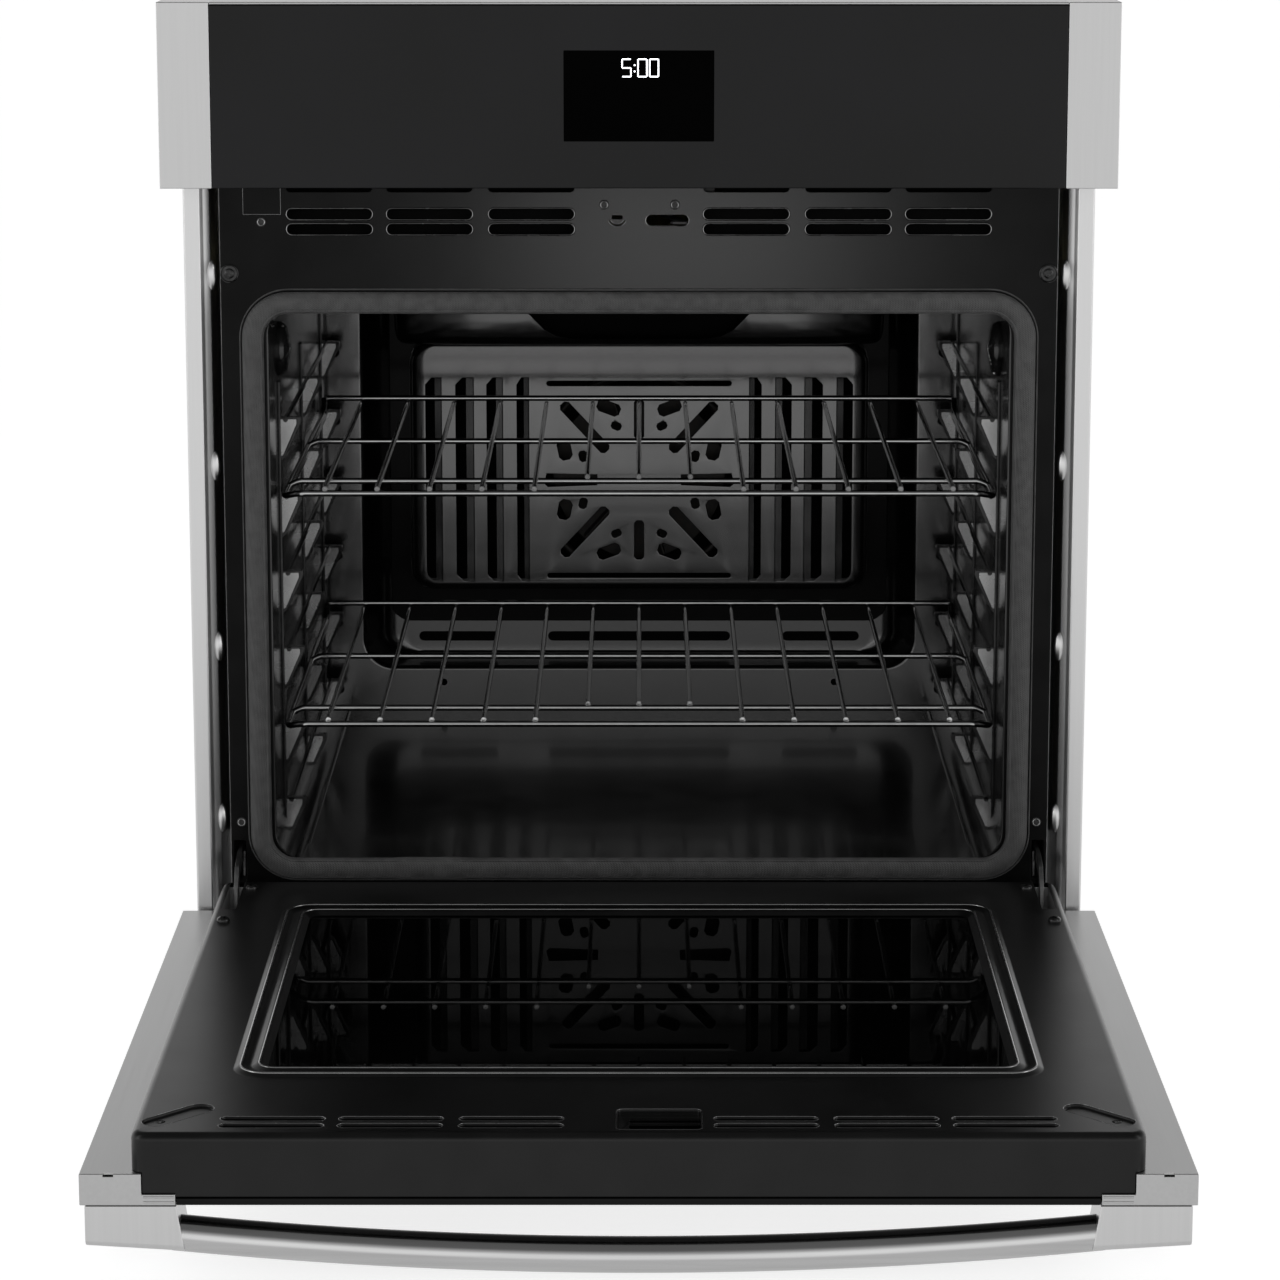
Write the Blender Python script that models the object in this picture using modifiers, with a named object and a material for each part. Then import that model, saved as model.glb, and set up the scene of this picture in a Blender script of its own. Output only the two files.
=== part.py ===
"""Built-in electric wall oven with its door open, as separate subcomponents.

Metres, +Z up, X across the oven, +Y into it. The origin is the centre of the base's underside.
The door hangs open in front of the oven, and every moving piece hangs from an empty on its axis.
"""
import math

import bmesh
import bpy
from mathutils import Matrix, Vector

# Overall size
HEIGHT = 0.750
BODY_DEPTH = 0.585
BODY_HALF = 0.314
PANEL_HALF = 0.33975
GAP = 0.0003
SHEET = 0.0012
PAN_TOP = 0.040

# Planes across the oven, front to back
FRAME_FRONT = -BODY_DEPTH / 2
FRAME_THICK = 0.002
PANEL_FRONT = FRAME_FRONT - 0.049
TRIM_FRONT = FRAME_FRONT - 0.004
CAVITY_BACK = 0.2075
BODY_BACK = BODY_DEPTH / 2

# Cavity
CAVITY_HALF = 0.270
CAVITY_FLOOR = 0.112
CAVITY_CEILING = 0.530
CAVITY_RADIUS = 0.021
FAN_Z = 0.311
RECESS_DEPTH = 0.040

# Fan cover, ceiling duct and elements
COVER_HALF = 0.196
COVER_LOW = 0.2145
COVER_HIGH = 0.4285
COVER_RADIUS = 0.018
COVER_FRONT = CAVITY_BACK - 0.003
FAN_Y = 0.2300
DUCT_HALF = 0.2050
DUCT_LOW = 0.4290
DUCT_BULGE = 0.042
BROIL_Z = 0.5130
BAKE_Z = 0.1045

# Air vents of the front frame
VENT_LENGTH = 0.063
VENT_HEIGHT = 0.0089
VENT_CENTRES = (0.0776, 0.1512, 0.2235)
VENT_ROWS = (0.584, 0.595)
TOP_VENT_Z = 0.6125
TOP_VENT_HEIGHT = 0.006

# Control panel
PANEL_BOTTOM = 0.6185
END_CAP_WIDTH = 0.0369
GLASS_THICK = 0.0041

# Door: v runs from the hinge axis to the handle, w from the outer face to the oven
HINGE_X = 0.2965
HINGE_Y = -0.32675
HINGE_Z = 0.074
DOOR_HALF = 0.339
DOOR_BACK = -0.0253
DOOR_END = 0.5418
SKIN_LOW = -0.0175
SKIN_HIGH = 0.0025
LINER_HALF = 0.3075
LINER_BACK = -0.018
LINER_END = 0.5400
LINER_TOP = 0.0270
GLASS_HALF = 0.2804

# Handle
HANDLE_RADIUS = 0.0112
HANDLE_V = 0.53025
HANDLE_END_Z = 0.0337
HANDLE_MID_Z = 0.0210
BRACKET_TOP_X = 0.2803
BRACKET_LOW_X = 0.2755
BRACKET_OUTER_X = 0.336

# Racks and their guides
RACK_LOW_Z = 0.2120
RACK_LEVEL = 0.05847
RACK_WIRE_PITCH = 0.03876
RACK_FRONT = PANEL_FRONT + 0.086
RACK_INNER_FRONT = PANEL_FRONT + 0.138
RACK_MIDDLE = PANEL_FRONT + 0.318
RACK_BACK = PANEL_FRONT + 0.486
WIRE = 0.0038
RAIL = 0.0048

# Door latch and cooling blower
LATCH_X = 0.0205
LATCH_Y = -0.262
LATCH_Z = 0.5905
LATCH_REST_DEG = 14.0
BLOWER_Y = 0.130
TRAY_Z = 0.6275

FINISHES = {
    "stainless": ((0.62, 0.62, 0.62), 0.28, 1.0),
    "black_enamel": ((0.012, 0.012, 0.013), 0.30, 0.0),
    "cavity_enamel": ((0.020, 0.020, 0.021), 0.22, 0.0),
    "black_glass": ((0.010, 0.010, 0.011), 0.05, 0.0),
    "clear_glass": ((0.05, 0.05, 0.05), 0.03, 0.0),
    "galvanised": ((0.55, 0.56, 0.57), 0.45, 1.0),
    "rack_steel": ((0.10, 0.10, 0.10), 0.30, 1.0),
    "element": ((0.05, 0.05, 0.05), 0.50, 0.6),
    "gasket": ((0.06, 0.06, 0.06), 0.75, 0.0),
    "wool": ((0.75, 0.70, 0.45), 0.95, 0.0),
    "plastic": ((0.03, 0.03, 0.03), 0.55, 0.0),
    "board": ((0.04, 0.16, 0.07), 0.50, 0.0),
    "lamp": ((0.85, 0.85, 0.80), 0.10, 0.0),
    "motor": ((0.30, 0.30, 0.31), 0.45, 0.8),
    "bright_steel": ((0.75, 0.75, 0.76), 0.22, 1.0),
}

PARTS = bpy.data.collections.new("wall_oven")
CUTTERS = bpy.data.collections.new("cutters")


# ---------------------------------------------------------------- building tools

def clear_scene():
    for old in list(bpy.data.objects):
        bpy.data.objects.remove(old, do_unlink=True)
    bpy.context.scene.collection.children.link(PARTS)
    bpy.context.scene.collection.children.link(CUTTERS)


def finish_material(name, finish):
    colour, roughness, metallic = FINISHES[finish]
    material = bpy.data.materials.new(name + "_finish")
    material.use_nodes = True
    shader = material.node_tree.nodes["Principled BSDF"]
    shader.inputs["Base Color"].default_value = (*colour, 1.0)
    shader.inputs["Roughness"].default_value = roughness
    shader.inputs["Metallic"].default_value = metallic
    return material


def add_part(name, data, finish):
    part = bpy.data.objects.new(name, data)
    part.data.materials.append(finish_material(name, finish))
    PARTS.objects.link(part)
    return part


def mesh_from(bm, name):
    bmesh.ops.recalc_face_normals(bm, faces=bm.faces)
    mesh = bpy.data.meshes.new(name)
    bm.to_mesh(mesh)
    bm.free()
    return mesh


def smooth(part, degrees=40):
    part.data.shade_smooth()
    part.data.set_sharp_from_angle(angle=math.radians(degrees))
    return part


def add_box(bm, low, high):
    """Add one closed box between two corners."""
    low, high = Vector(low), Vector(high)
    size = high - low
    place = Matrix.Translation((low + high) / 2) @ Matrix.Diagonal((*size, 1.0))
    return bmesh.ops.create_cube(bm, size=1.0, matrix=place)["verts"]


def box_mesh(name, *corner_pairs):
    bm = bmesh.new()
    for low, high in corner_pairs:
        add_box(bm, low, high)
    return mesh_from(bm, name)


def box(name, low, high, finish):
    return add_part(name, box_mesh(name, (low, high)), finish)


def rod_mesh(name, *rods, sides=16):
    """Closed cylinders or cones, each (start, end, start radius, end radius)."""
    bm = bmesh.new()
    for start, end, radius_a, radius_b in rods:
        start, end = Vector(start), Vector(end)
        turn = (end - start).to_track_quat("Z", "Y").to_matrix().to_4x4()
        bmesh.ops.create_cone(
            bm, cap_ends=True, segments=sides, radius1=radius_a, radius2=radius_b,
            depth=(end - start).length, matrix=Matrix.Translation((start + end) / 2) @ turn)
    return mesh_from(bm, name)


def shell(name, low, high, thickness, open_sides, finish):
    """A sheet-metal box without its open sides, such as "+Z" for an open top."""
    bm = bmesh.new()
    add_box(bm, low, high)
    bm.normal_update()
    for side in open_sides:
        direction = Vector([float(axis == side[1]) for axis in "XYZ"])
        direction *= 1 if side[0] == "+" else -1
        gone = [face for face in bm.faces if face.normal.dot(direction) > 0.9]
        bmesh.ops.delete(bm, geom=gone, context="FACES_ONLY")
    mesh = bpy.data.meshes.new(name)
    bm.to_mesh(mesh)
    bm.free()
    part = add_part(name, mesh, finish)
    thicken(part, thickness)
    return part


def thicken(part, thickness, offset=-1.0):
    solid = part.modifiers.new("wall", "SOLIDIFY")
    solid.thickness = thickness
    solid.offset = offset
    solid.use_even_offset = True
    return part


def rounded_rect(half, low, high, radius, steps=4):
    """Outline of a rectangle centred on u = 0 with round corners."""
    corners = ((half, high, 0), (-half, high, 90), (-half, low, 180), (half, low, 270))
    points = []
    for u, v, start in corners:
        centre_u = u - math.copysign(radius, u)
        centre_v = v + (-radius if v == high else radius)
        for step in range(steps + 1):
            angle = math.radians(start + 90 * step / steps)
            points.append((centre_u + radius * math.cos(angle), centre_v + radius * math.sin(angle)))
    return points


def stadium(u, v, length, height, steps=3):
    """Outline of a slot with round ends, centred on (u, v)."""
    radius = height / 2
    reach = length / 2 - radius
    points = []
    for side, start in ((1, -90), (-1, 90)):
        for step in range(steps + 1):
            angle = math.radians(start + 180 * step / steps)
            points.append((u + side * reach + radius * math.cos(angle), v + radius * math.sin(angle)))
    return points


def circle(u, v, radius, steps=16):
    turn = 2 * math.pi / steps
    return [(u + radius * math.cos(turn * k), v + radius * math.sin(turn * k)) for k in range(steps)]


def rectangle(u_low, u_high, v_low, v_high):
    return [(u_low, v_low), (u_high, v_low), (u_high, v_high), (u_low, v_high)]


def strip_outline(path, thickness):
    """Outline of a folded strip of even thickness that follows a path."""
    points = [Vector(point) for point in path]
    left, right = [], []
    for index, point in enumerate(points):
        before = (point - points[index - 1]).normalized() if index else None
        after = (points[index + 1] - point).normalized() if index < len(points) - 1 else None
        along = ((before or after) + (after or before)).normalized()
        normal = Vector((-along.y, along.x))
        stretch = along.dot(after or before)
        shift = normal * (thickness / 2 / stretch)
        left.append(point + shift)
        right.append(point - shift)
    return [tuple(point) for point in left + right[::-1]]


FACING = {
    "Z": (0.0, 0.0, 0.0),
    "Y": (math.pi / 2, 0.0, 0.0),
    "X": (math.pi / 2, 0.0, math.pi / 2),
}


def outline_curve(name, outlines, thickness):
    """A flat 2D curve: the first outline is the plate, the others are holes in it."""
    curve = bpy.data.curves.new(name, "CURVE")
    curve.dimensions = "2D"
    curve.fill_mode = "BOTH"
    curve.extrude = thickness / 2
    for points in outlines:
        spline = curve.splines.new("POLY")
        spline.points.add(len(points) - 1)
        for target, (u, v) in zip(spline.points, points):
            target.co = (u, v, 0.0, 1.0)
        spline.use_cyclic_u = True
    return curve


def plate(name, outlines, low, high, facing, finish):
    """A flat plate between two planes. Facing Y its outline is (x, z), X (y, z) and Z (x, y)."""
    part = add_part(name, outline_curve(name, outlines, high - low), finish)
    part.rotation_euler = FACING[facing]
    part.location["XYZ".index(facing)] = (low + high) / 2
    return part


def plate_mesh(name, outlines, low, high, facing):
    """Mesh of a flat plate with holes between two planes."""
    tool = helper(name, outline_curve(name, outlines, high - low))
    tool.rotation_euler = FACING[facing]
    tool.location["XYZ".index(facing)] = (low + high) / 2
    solid = as_mesh(tool)
    mesh = solid.data
    mesh.transform(solid.matrix_world)
    bpy.data.objects.remove(solid, do_unlink=True)
    return mesh


def as_mesh(part, merge=1e-6):
    """Turn a curve into a closed mesh with the same place, name and material."""
    bpy.context.view_layer.update()
    evaluated = part.evaluated_get(bpy.context.evaluated_depsgraph_get())
    mesh = bpy.data.meshes.new_from_object(evaluated)
    bm = bmesh.new()
    bm.from_mesh(mesh)
    bmesh.ops.remove_doubles(bm, verts=bm.verts, dist=merge)
    bmesh.ops.recalc_face_normals(bm, faces=bm.faces)
    bm.to_mesh(mesh)
    bm.free()
    name = part.name
    place = part.matrix_world.copy()
    homes = part.users_collection
    bpy.data.objects.remove(part, do_unlink=True)
    solid = bpy.data.objects.new(name, mesh)
    for home in homes:
        home.objects.link(solid)
    solid.matrix_world = place
    return solid


def tube(name, points, radius, finish, cyclic=False, resolution=2):
    """A round bar along a path of points."""
    curve = bpy.data.curves.new(name, "CURVE")
    curve.dimensions = "3D"
    curve.bevel_depth = radius
    curve.bevel_resolution = resolution
    curve.use_fill_caps = True
    spline = curve.splines.new("POLY")
    spline.points.add(len(points) - 1)
    for target, point in zip(spline.points, points):
        target.co = (*point, 1.0)
    spline.use_cyclic_u = cyclic
    return add_part(name, curve, finish)


def round_path(corners, radius, steps=3):
    """Replace each inner corner of a path by an arc."""
    corners = [Vector(corner) for corner in corners]
    path = [corners[0]]
    for before, corner, after in zip(corners, corners[1:], corners[2:]):
        start = corner + (before - corner).normalized() * radius
        end = corner + (after - corner).normalized() * radius
        for step in range(steps + 1):
            t = step / steps
            path.append(start * (1 - t) ** 2 + corner * 2 * t * (1 - t) + end * t ** 2)
    return path + [corners[-1]]


def helper(name, data):
    """An object that only cuts or joins other pieces."""
    tool = bpy.data.objects.new(name, data)
    CUTTERS.objects.link(tool)
    tool.hide_render = True
    tool.display_type = "WIRE"
    return tool


def combine(part, operation, name, mesh):
    tool = helper(name, mesh)
    step = part.modifiers.new(name, "BOOLEAN")
    step.operation = operation
    step.solver = "EXACT"
    step.object = tool
    return part


def cut(part, name, mesh):
    return combine(part, "DIFFERENCE", name, mesh)


def join(part, name, mesh):
    return combine(part, "UNION", name, mesh)


def prism_mesh(name, outlines, low, high, facing):
    """Mesh of one or more flat outlines, each stretched between two planes into its own body."""
    bm = bmesh.new()
    for points in outlines:
        bottom = [bm.verts.new(facing_point(u, v, low, facing)) for u, v in points]
        top = bmesh.ops.extrude_face_region(bm, geom=[bm.faces.new(bottom)])["geom"]
        shift = facing_point(0.0, 0.0, high - low, facing)
        bmesh.ops.translate(bm, vec=shift, verts=[v for v in top if isinstance(v, bmesh.types.BMVert)])
    return mesh_from(bm, name)


def facing_point(u, v, depth, facing):
    return {"X": (depth, u, v), "Y": (u, depth, v), "Z": (u, v, depth)}[facing]


def pivot(name, place):
    """An empty on a joint's axis, which carries the pieces that move."""
    empty = bpy.data.objects.new(name, None)
    empty.empty_display_size = 0.02
    empty.location = place
    PARTS.objects.link(empty)
    return empty


def hang(empty, *parts):
    for part in parts:
        part.parent = empty
        part.matrix_parent_inverse = Matrix.Translation(-empty.location)


def door_box(low, high):
    """Corners of a box given as (x, v, w) from the hinge axis, with the door open."""
    return ((low[0], HINGE_Y - high[1], HINGE_Z + low[2]), (high[0], HINGE_Y - low[1], HINGE_Z + high[2]))


def door_outline(points):
    """An (x, v) outline of the open door as (x, y)."""
    return [(x, HINGE_Y - v) for x, v in points]


def sides():
    return (("left", -1), ("right", 1))


def mirrored(side, low, high):
    """Corners of a box given for the right side, moved to the named side."""
    if side > 0:
        return low, high
    return (-high[0], low[1], low[2]), (-low[0], high[1], high[2])


def flip_outline(side, points):
    return [(side * u, v) for u, v in points]


# ---------------------------------------------------------------- chassis

def base_pan():
    shell("base_pan", (-BODY_HALF, FRAME_FRONT + 0.0025, 0.0), (BODY_HALF, BODY_BACK, PAN_TOP),
          0.0015, ["+Z"], "galvanised")


def side_panels():
    front = -0.2700
    for side_name, side in sides():
        path = [(0.3042, front), (BODY_HALF - SHEET / 2, front), (BODY_HALF - SHEET / 2, BODY_BACK)]
        outline = flip_outline(side, strip_outline(path, SHEET))
        plate("side_panel_" + side_name, [outline], PAN_TOP + GAP, 0.7330, "Z", "galvanised")


def rear_panel():
    motor_vents = [stadium(0, FAN_Z + 0.018 * k, 0.10, 0.007) for k in range(-2, 3)]
    upper_vents = [stadium(-0.15, 0.650 + 0.014 * k, 0.09, 0.007) for k in range(5)]
    outlet = [rectangle(0.190, 0.270, 0.6415, 0.6900)]
    plate("rear_panel", [rectangle(-0.3125, 0.3125, PAN_TOP + GAP, 0.7330)] + motor_vents + outlet,
          BODY_BACK - SHEET, BODY_BACK, "Y", "galvanised")


def top_panel():
    vents = [stadium(0, BLOWER_Y - 0.045 + 0.018 * k, 0.11, 0.008) for k in range(6)]
    plate("top_panel", [rectangle(-0.3125, 0.3125, FRAME_FRONT + 0.0025, BODY_BACK - 0.0020)] + vents,
          0.7335, 0.7347, "Z", "galvanised")


def front_frame():
    outline = rectangle(-0.303, 0.303, 0.050, 0.7325)
    cavity = rounded_rect(0.2705, 0.1130, 0.5285, 0.022)
    wiring = rectangle(-0.200, 0.200, 0.650, 0.715)
    latch = stadium(LATCH_X, LATCH_Z, 0.031, 0.008)
    holes = [cavity, wiring, latch]
    for _, side in sides():
        holes.append(rectangle(side * HINGE_X - 0.0045, side * HINGE_X + 0.0045, 0.0940, 0.1280))
        for centre in VENT_CENTRES:
            holes.append(stadium(side * centre, TOP_VENT_Z, VENT_LENGTH, TOP_VENT_HEIGHT))
            for row in VENT_ROWS:
                holes.append(stadium(side * centre, row, VENT_LENGTH, VENT_HEIGHT))
    plate("front_frame", [outline] + holes, FRAME_FRONT, FRAME_FRONT + FRAME_THICK, "Y", "black_enamel")


def side_trims():
    """Folded strips that lap the cabinet's face, with a curved return towards the frame."""
    path = [(0.3288, TRIM_FRONT + 0.0005), (0.3178, TRIM_FRONT + 0.0005), (0.3164, -0.2905),
            (0.3125, -0.2815), (0.3055, -0.2755)]
    for side_name, side in sides():
        outline = flip_outline(side, strip_outline(path, 0.001))
        plate("side_trim_" + side_name, [outline], 0.0485, 0.6180, "Z", "stainless")


def bottom_trim():
    shell("bottom_trim", (-0.329, TRIM_FRONT, 0.004), (0.329, FRAME_FRONT + 0.0022, 0.044),
          0.001, ["+Y"], "stainless")


def component_tray():
    inlet = circle(0, BLOWER_Y, 0.066, 20)
    plate("component_tray", [rectangle(-0.310, 0.310, -0.200, 0.2880), inlet],
          TRAY_Z, TRAY_Z + SHEET, "Z", "galvanised")


def junction_box():
    shell("junction_box", (0.180, 0.2400, 0.6320), (0.280, 0.2908, 0.7000), SHEET, ["+Y"], "galvanised")


# ---------------------------------------------------------------- cavity

def cavity_liner():
    inner = rounded_rect(CAVITY_HALF, CAVITY_FLOOR, CAVITY_CEILING, CAVITY_RADIUS)
    outer = rounded_rect(CAVITY_HALF + SHEET, CAVITY_FLOOR - SHEET, CAVITY_CEILING + SHEET,
                         CAVITY_RADIUS + SHEET)
    plate("cavity_liner", [outer, inner], FRAME_FRONT + FRAME_THICK + GAP, CAVITY_BACK + 0.0015,
          "Y", "cavity_enamel")


def cavity_back():
    """Pressed back wall with a deep round-cornered recess for the fan."""
    rings = (
        (rounded_rect(CAVITY_HALF - GAP, CAVITY_FLOOR + GAP, CAVITY_CEILING - GAP, CAVITY_RADIUS), 0.0),
        (rounded_rect(0.2377, 0.145, 0.500, 0.026), 0.0),
        (rounded_rect(0.2340, 0.1487, 0.4963, 0.024), 0.005),
        (rounded_rect(0.2200, 0.1520, 0.4850, 0.020), RECESS_DEPTH),
    )
    bm = bmesh.new()
    loops = [[bm.verts.new((x, CAVITY_BACK + depth, z)) for x, z in points] for points, depth in rings]
    for outer, inner in zip(loops, loops[1:]):
        count = len(outer)
        for k in range(count):
            bm.faces.new((outer[k], outer[(k + 1) % count], inner[(k + 1) % count], inner[k]))
    bm.faces.new(loops[-1])
    bmesh.ops.recalc_face_normals(bm, faces=bm.faces)
    floor_face = max(bm.faces, key=lambda face: face.calc_center_median().y)
    if floor_face.normal.y > 0:
        bmesh.ops.reverse_faces(bm, faces=bm.faces)
    mesh = bpy.data.meshes.new("cavity_back")
    bm.to_mesh(mesh)
    bm.free()
    part = add_part("cavity_back", mesh, "cavity_enamel")
    thicken(part, SHEET)
    slots = [stadium(0, 0.1650, 0.159, 0.0085), stadium(0.1585, 0.1650, 0.067, 0.0085),
             stadium(-0.1575, 0.1650, 0.069, 0.0085), circle(0, FAN_Z, 0.009)]
    floor_y = CAVITY_BACK + RECESS_DEPTH
    cut(part, "back_slots", prism_mesh("back_slots", slots, floor_y - 0.01, floor_y + 0.01, "Y"))


def fan_cover_holes():
    """Air holes of the fan cover: louvre slots at both sides and a mirrored pattern between them."""
    holes = []
    louvres = ((0.1756, 0.0137), (0.1490, 0.0154), (0.1233, 0.0137), (0.0993, 0.0103))
    half_height, slant = 0.0885, 0.006
    for _, side in sides():
        for centre, width in louvres:
            inner, outer = side * (centre - width / 2), side * (centre + width / 2)
            holes.append([(outer, FAN_Z - half_height + slant), (inner, FAN_Z - half_height),
                          (inner, FAN_Z + half_height), (outer, FAN_Z + half_height - slant)])
        holes.append([(side * 0.0360, FAN_Z + 0.0045), (side * 0.0360, FAN_Z - 0.0045),
                      (side * 0.0810, FAN_Z - 0.0060), (side * 0.0790, FAN_Z + 0.0055)])
    for up in (1, -1):
        holes.append(stadium(0, FAN_Z + up * 0.0835, 0.158, 0.0042, 2))
        holes.append(rectangle(-0.0042, 0.0042, FAN_Z + up * 0.0525 - 0.017, FAN_Z + up * 0.0525 + 0.017))
        for _, side in sides():
            holes.append(bar_hole((side * 0.0655, FAN_Z + up * 0.0660),
                                  (side * 0.0275, FAN_Z + up * 0.0250), 0.0095))
            holes.append(bar_hole((side * 0.0355, FAN_Z + up * 0.0660),
                                  (side * 0.0165, FAN_Z + up * 0.0590), 0.0105))
            holes.append(bar_hole((side * 0.0655, FAN_Z + up * 0.0345),
                                  (side * 0.0620, FAN_Z + up * 0.0175), 0.0115))
            holes.append(bar_hole((side * 0.0235, FAN_Z + up * 0.0485),
                                  (side * 0.0155, FAN_Z + up * 0.0450), 0.0065))
            holes.append(bar_hole((side * 0.0490, FAN_Z + up * 0.0250),
                                  (side * 0.0470, FAN_Z + up * 0.0160), 0.0070))
    return holes


def bar_hole(start, end, width):
    """A straight slot with square ends between two points."""
    start, end = Vector(start), Vector(end)
    along = (end - start).normalized()
    across = Vector((-along.y, along.x)) * width / 2
    return [tuple(point) for point in (start + across, start - across, end - across, end + across)]


def fan_cover():
    """Perforated cover with a wall that reaches back into the recess."""
    def outline(inset):
        return rounded_rect(COVER_HALF - inset, COVER_LOW + inset, COVER_HIGH - inset, COVER_RADIUS - inset)
    wall_depth = 0.0405
    cover = as_mesh(plate("fan_cover", [outline(0.0)] + fan_cover_holes(), COVER_FRONT,
                          COVER_FRONT + SHEET, "Y", "cavity_enamel"))
    wall_front = COVER_FRONT + 0.0004
    wall = plate_mesh("cover_wall", [outline(0.0003), outline(0.0003 + SHEET)], wall_front,
                      wall_front + wall_depth, "Y")
    join(cover, "cover_wall", wall)


def convection_fan():
    axis = pivot("fan_axis", (0, FAN_Y, FAN_Z))
    disc = rod_mesh("convection_fan", ((0, 0.2318, FAN_Z), (0, 0.2330, FAN_Z), 0.074, 0.074), sides=20)
    fan = add_part("convection_fan", disc, "bright_steel")
    blades = bmesh.new()
    for k in range(6):
        verts = add_box(blades, (0.026, 0.2120, -0.0006), (0.070, 0.2324, 0.0006))
        turn = Matrix.Translation((0, 0, FAN_Z)) @ Matrix.Rotation(math.radians(60 * k + 12), 4, "Y")
        bmesh.ops.transform(blades, matrix=turn, verts=verts)
    join(fan, "fan_blades", mesh_from(blades, "fan_blades"))
    shaft = rod_mesh("fan_shaft", ((0, 0.2110, FAN_Z), (0, 0.2499, FAN_Z), 0.0045, 0.0045), sides=12)
    join(fan, "fan_shaft", shaft)
    hang(axis, fan)


def convection_element():
    radius, y = 0.088, 0.2230
    ring = []
    for k in range(-6, 25):
        angle = math.radians(10 * k)
        ring.append((radius * math.cos(angle), y, FAN_Z + radius * math.sin(angle)))
    first, last = [(end[0], 0.2450, end[2] - 0.004) for end in (ring[0], ring[-1])]
    tube("convection_element", [first] + ring + [last], 0.0032, "element", resolution=1)


def convection_motor():
    body = rod_mesh("convection_motor", ((0, 0.2505, FAN_Z), (0, 0.2880, FAN_Z), 0.042, 0.040), sides=24)
    motor = add_part("convection_motor", body, "motor")
    join(motor, "motor_foot", box_mesh("motor_foot", ((-0.07, 0.2506, FAN_Z - 0.012),
                                                      (0.07, 0.2524, FAN_Z + 0.012))))


def ceiling_duct():
    """A bowed duct under the ceiling at the back, open at the top and the back."""
    steps, side_depth = 12, 0.006
    back = CAVITY_BACK - GAP
    outline = [(DUCT_HALF, back)]
    for k in range(steps + 1):
        turn = math.pi * k / steps
        bow = side_depth + (DUCT_BULGE - side_depth) * math.sin(turn) ** 0.7
        outline.append((DUCT_HALF * math.cos(turn), back - bow))
    outline.append((-DUCT_HALF, back))
    bm = bmesh.new()
    low = [bm.verts.new((x, y, DUCT_LOW)) for x, y in outline]
    high = [bm.verts.new((x, y, CAVITY_CEILING - GAP)) for x, y in outline]
    for k in range(len(outline) - 1):
        bm.faces.new((low[k], low[k + 1], high[k + 1], high[k]))
    bm.faces.new(low)
    bmesh.ops.recalc_face_normals(bm, faces=bm.faces)
    bottom = min(bm.faces, key=lambda face: face.calc_center_median().z)
    if bottom.normal.z > 0:
        bmesh.ops.reverse_faces(bm, faces=bm.faces)
    mesh = bpy.data.meshes.new("ceiling_duct")
    bm.to_mesh(mesh)
    bm.free()
    thicken(add_part("ceiling_duct", mesh, "cavity_enamel"), 0.001)


def insulation():
    inner = rounded_rect(0.2722, 0.0985, 0.5322, 0.018, 2)
    outer = rounded_rect(0.3015, 0.0660, 0.5620, 0.030, 2)
    plate("cavity_insulation", [outer, inner], -0.1950, 0.2050, "Y", "wool")


def bake_element():
    loop = [(-0.03, 0.1750), (-0.03, 0.120), (-0.20, 0.120), (-0.20, -0.150), (-0.08, -0.150), (-0.08, 0.050),
            (0.08, 0.050), (0.08, -0.150), (0.20, -0.150), (0.20, 0.120), (0.03, 0.120), (0.03, 0.1750)]
    path = round_path([(x, y, BAKE_Z) for x, y in loop], 0.02, 2)
    tube("bake_element", path, 0.0032, "element", resolution=1)


def broil_element():
    loop = [(-0.04, 0.1500), (-0.19, 0.1500), (-0.19, -0.2000), (-0.06, -0.2000), (-0.06, 0.1000),
            (0.06, 0.1000), (0.06, -0.2000), (0.19, -0.2000), (0.19, 0.1500), (0.04, 0.1500)]
    level = [(x, y, BROIL_Z) for x, y in loop]
    rise = CAVITY_CEILING - GAP - 0.0004
    path = [(-0.04, 0.1500, rise)] + level + [(0.04, 0.1500, rise)]
    tube("broil_element", round_path(path, 0.014, 2), 0.0034, "element", resolution=1)


def lamps():
    for side_name, side in sides():
        wall = side * (CAVITY_HALF - GAP)
        lens = ((wall, -0.205, 0.4845), (wall - side * 0.008, -0.205, 0.4845), 0.0215, 0.018)
        mesh = rod_mesh("lamp_" + side_name, lens, sides=20)
        smooth(add_part("lamp_" + side_name, mesh, "lamp"))


def temperature_probe():
    back = CAVITY_BACK - GAP
    stem = ((0.232, back, 0.505), (0.232, 0.105, 0.505), 0.0024, 0.0024)
    rod = rod_mesh("temperature_probe", stem, sides=8)
    probe = add_part("temperature_probe", rod, "bright_steel")
    flange = rod_mesh("probe_flange", ((0.232, back, 0.505), (0.232, back - 0.002, 0.505), 0.009, 0.009))
    join(probe, "probe_flange", flange)


def door_gasket():
    curve = outline_curve("door_gasket", [rounded_rect(0.288, 0.0996, 0.5389, 0.034, 6),
                                          rounded_rect(0.272, 0.1156, 0.5230, 0.018, 6)], 0.0014)
    curve.bevel_depth = 0.0025
    curve.bevel_resolution = 1
    curve.offset = -0.0025
    gasket = add_part("door_gasket", curve, "gasket")
    gasket.rotation_euler = FACING["Y"]
    gasket.location.y = FRAME_FRONT - GAP - 0.0032
    return gasket


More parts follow.
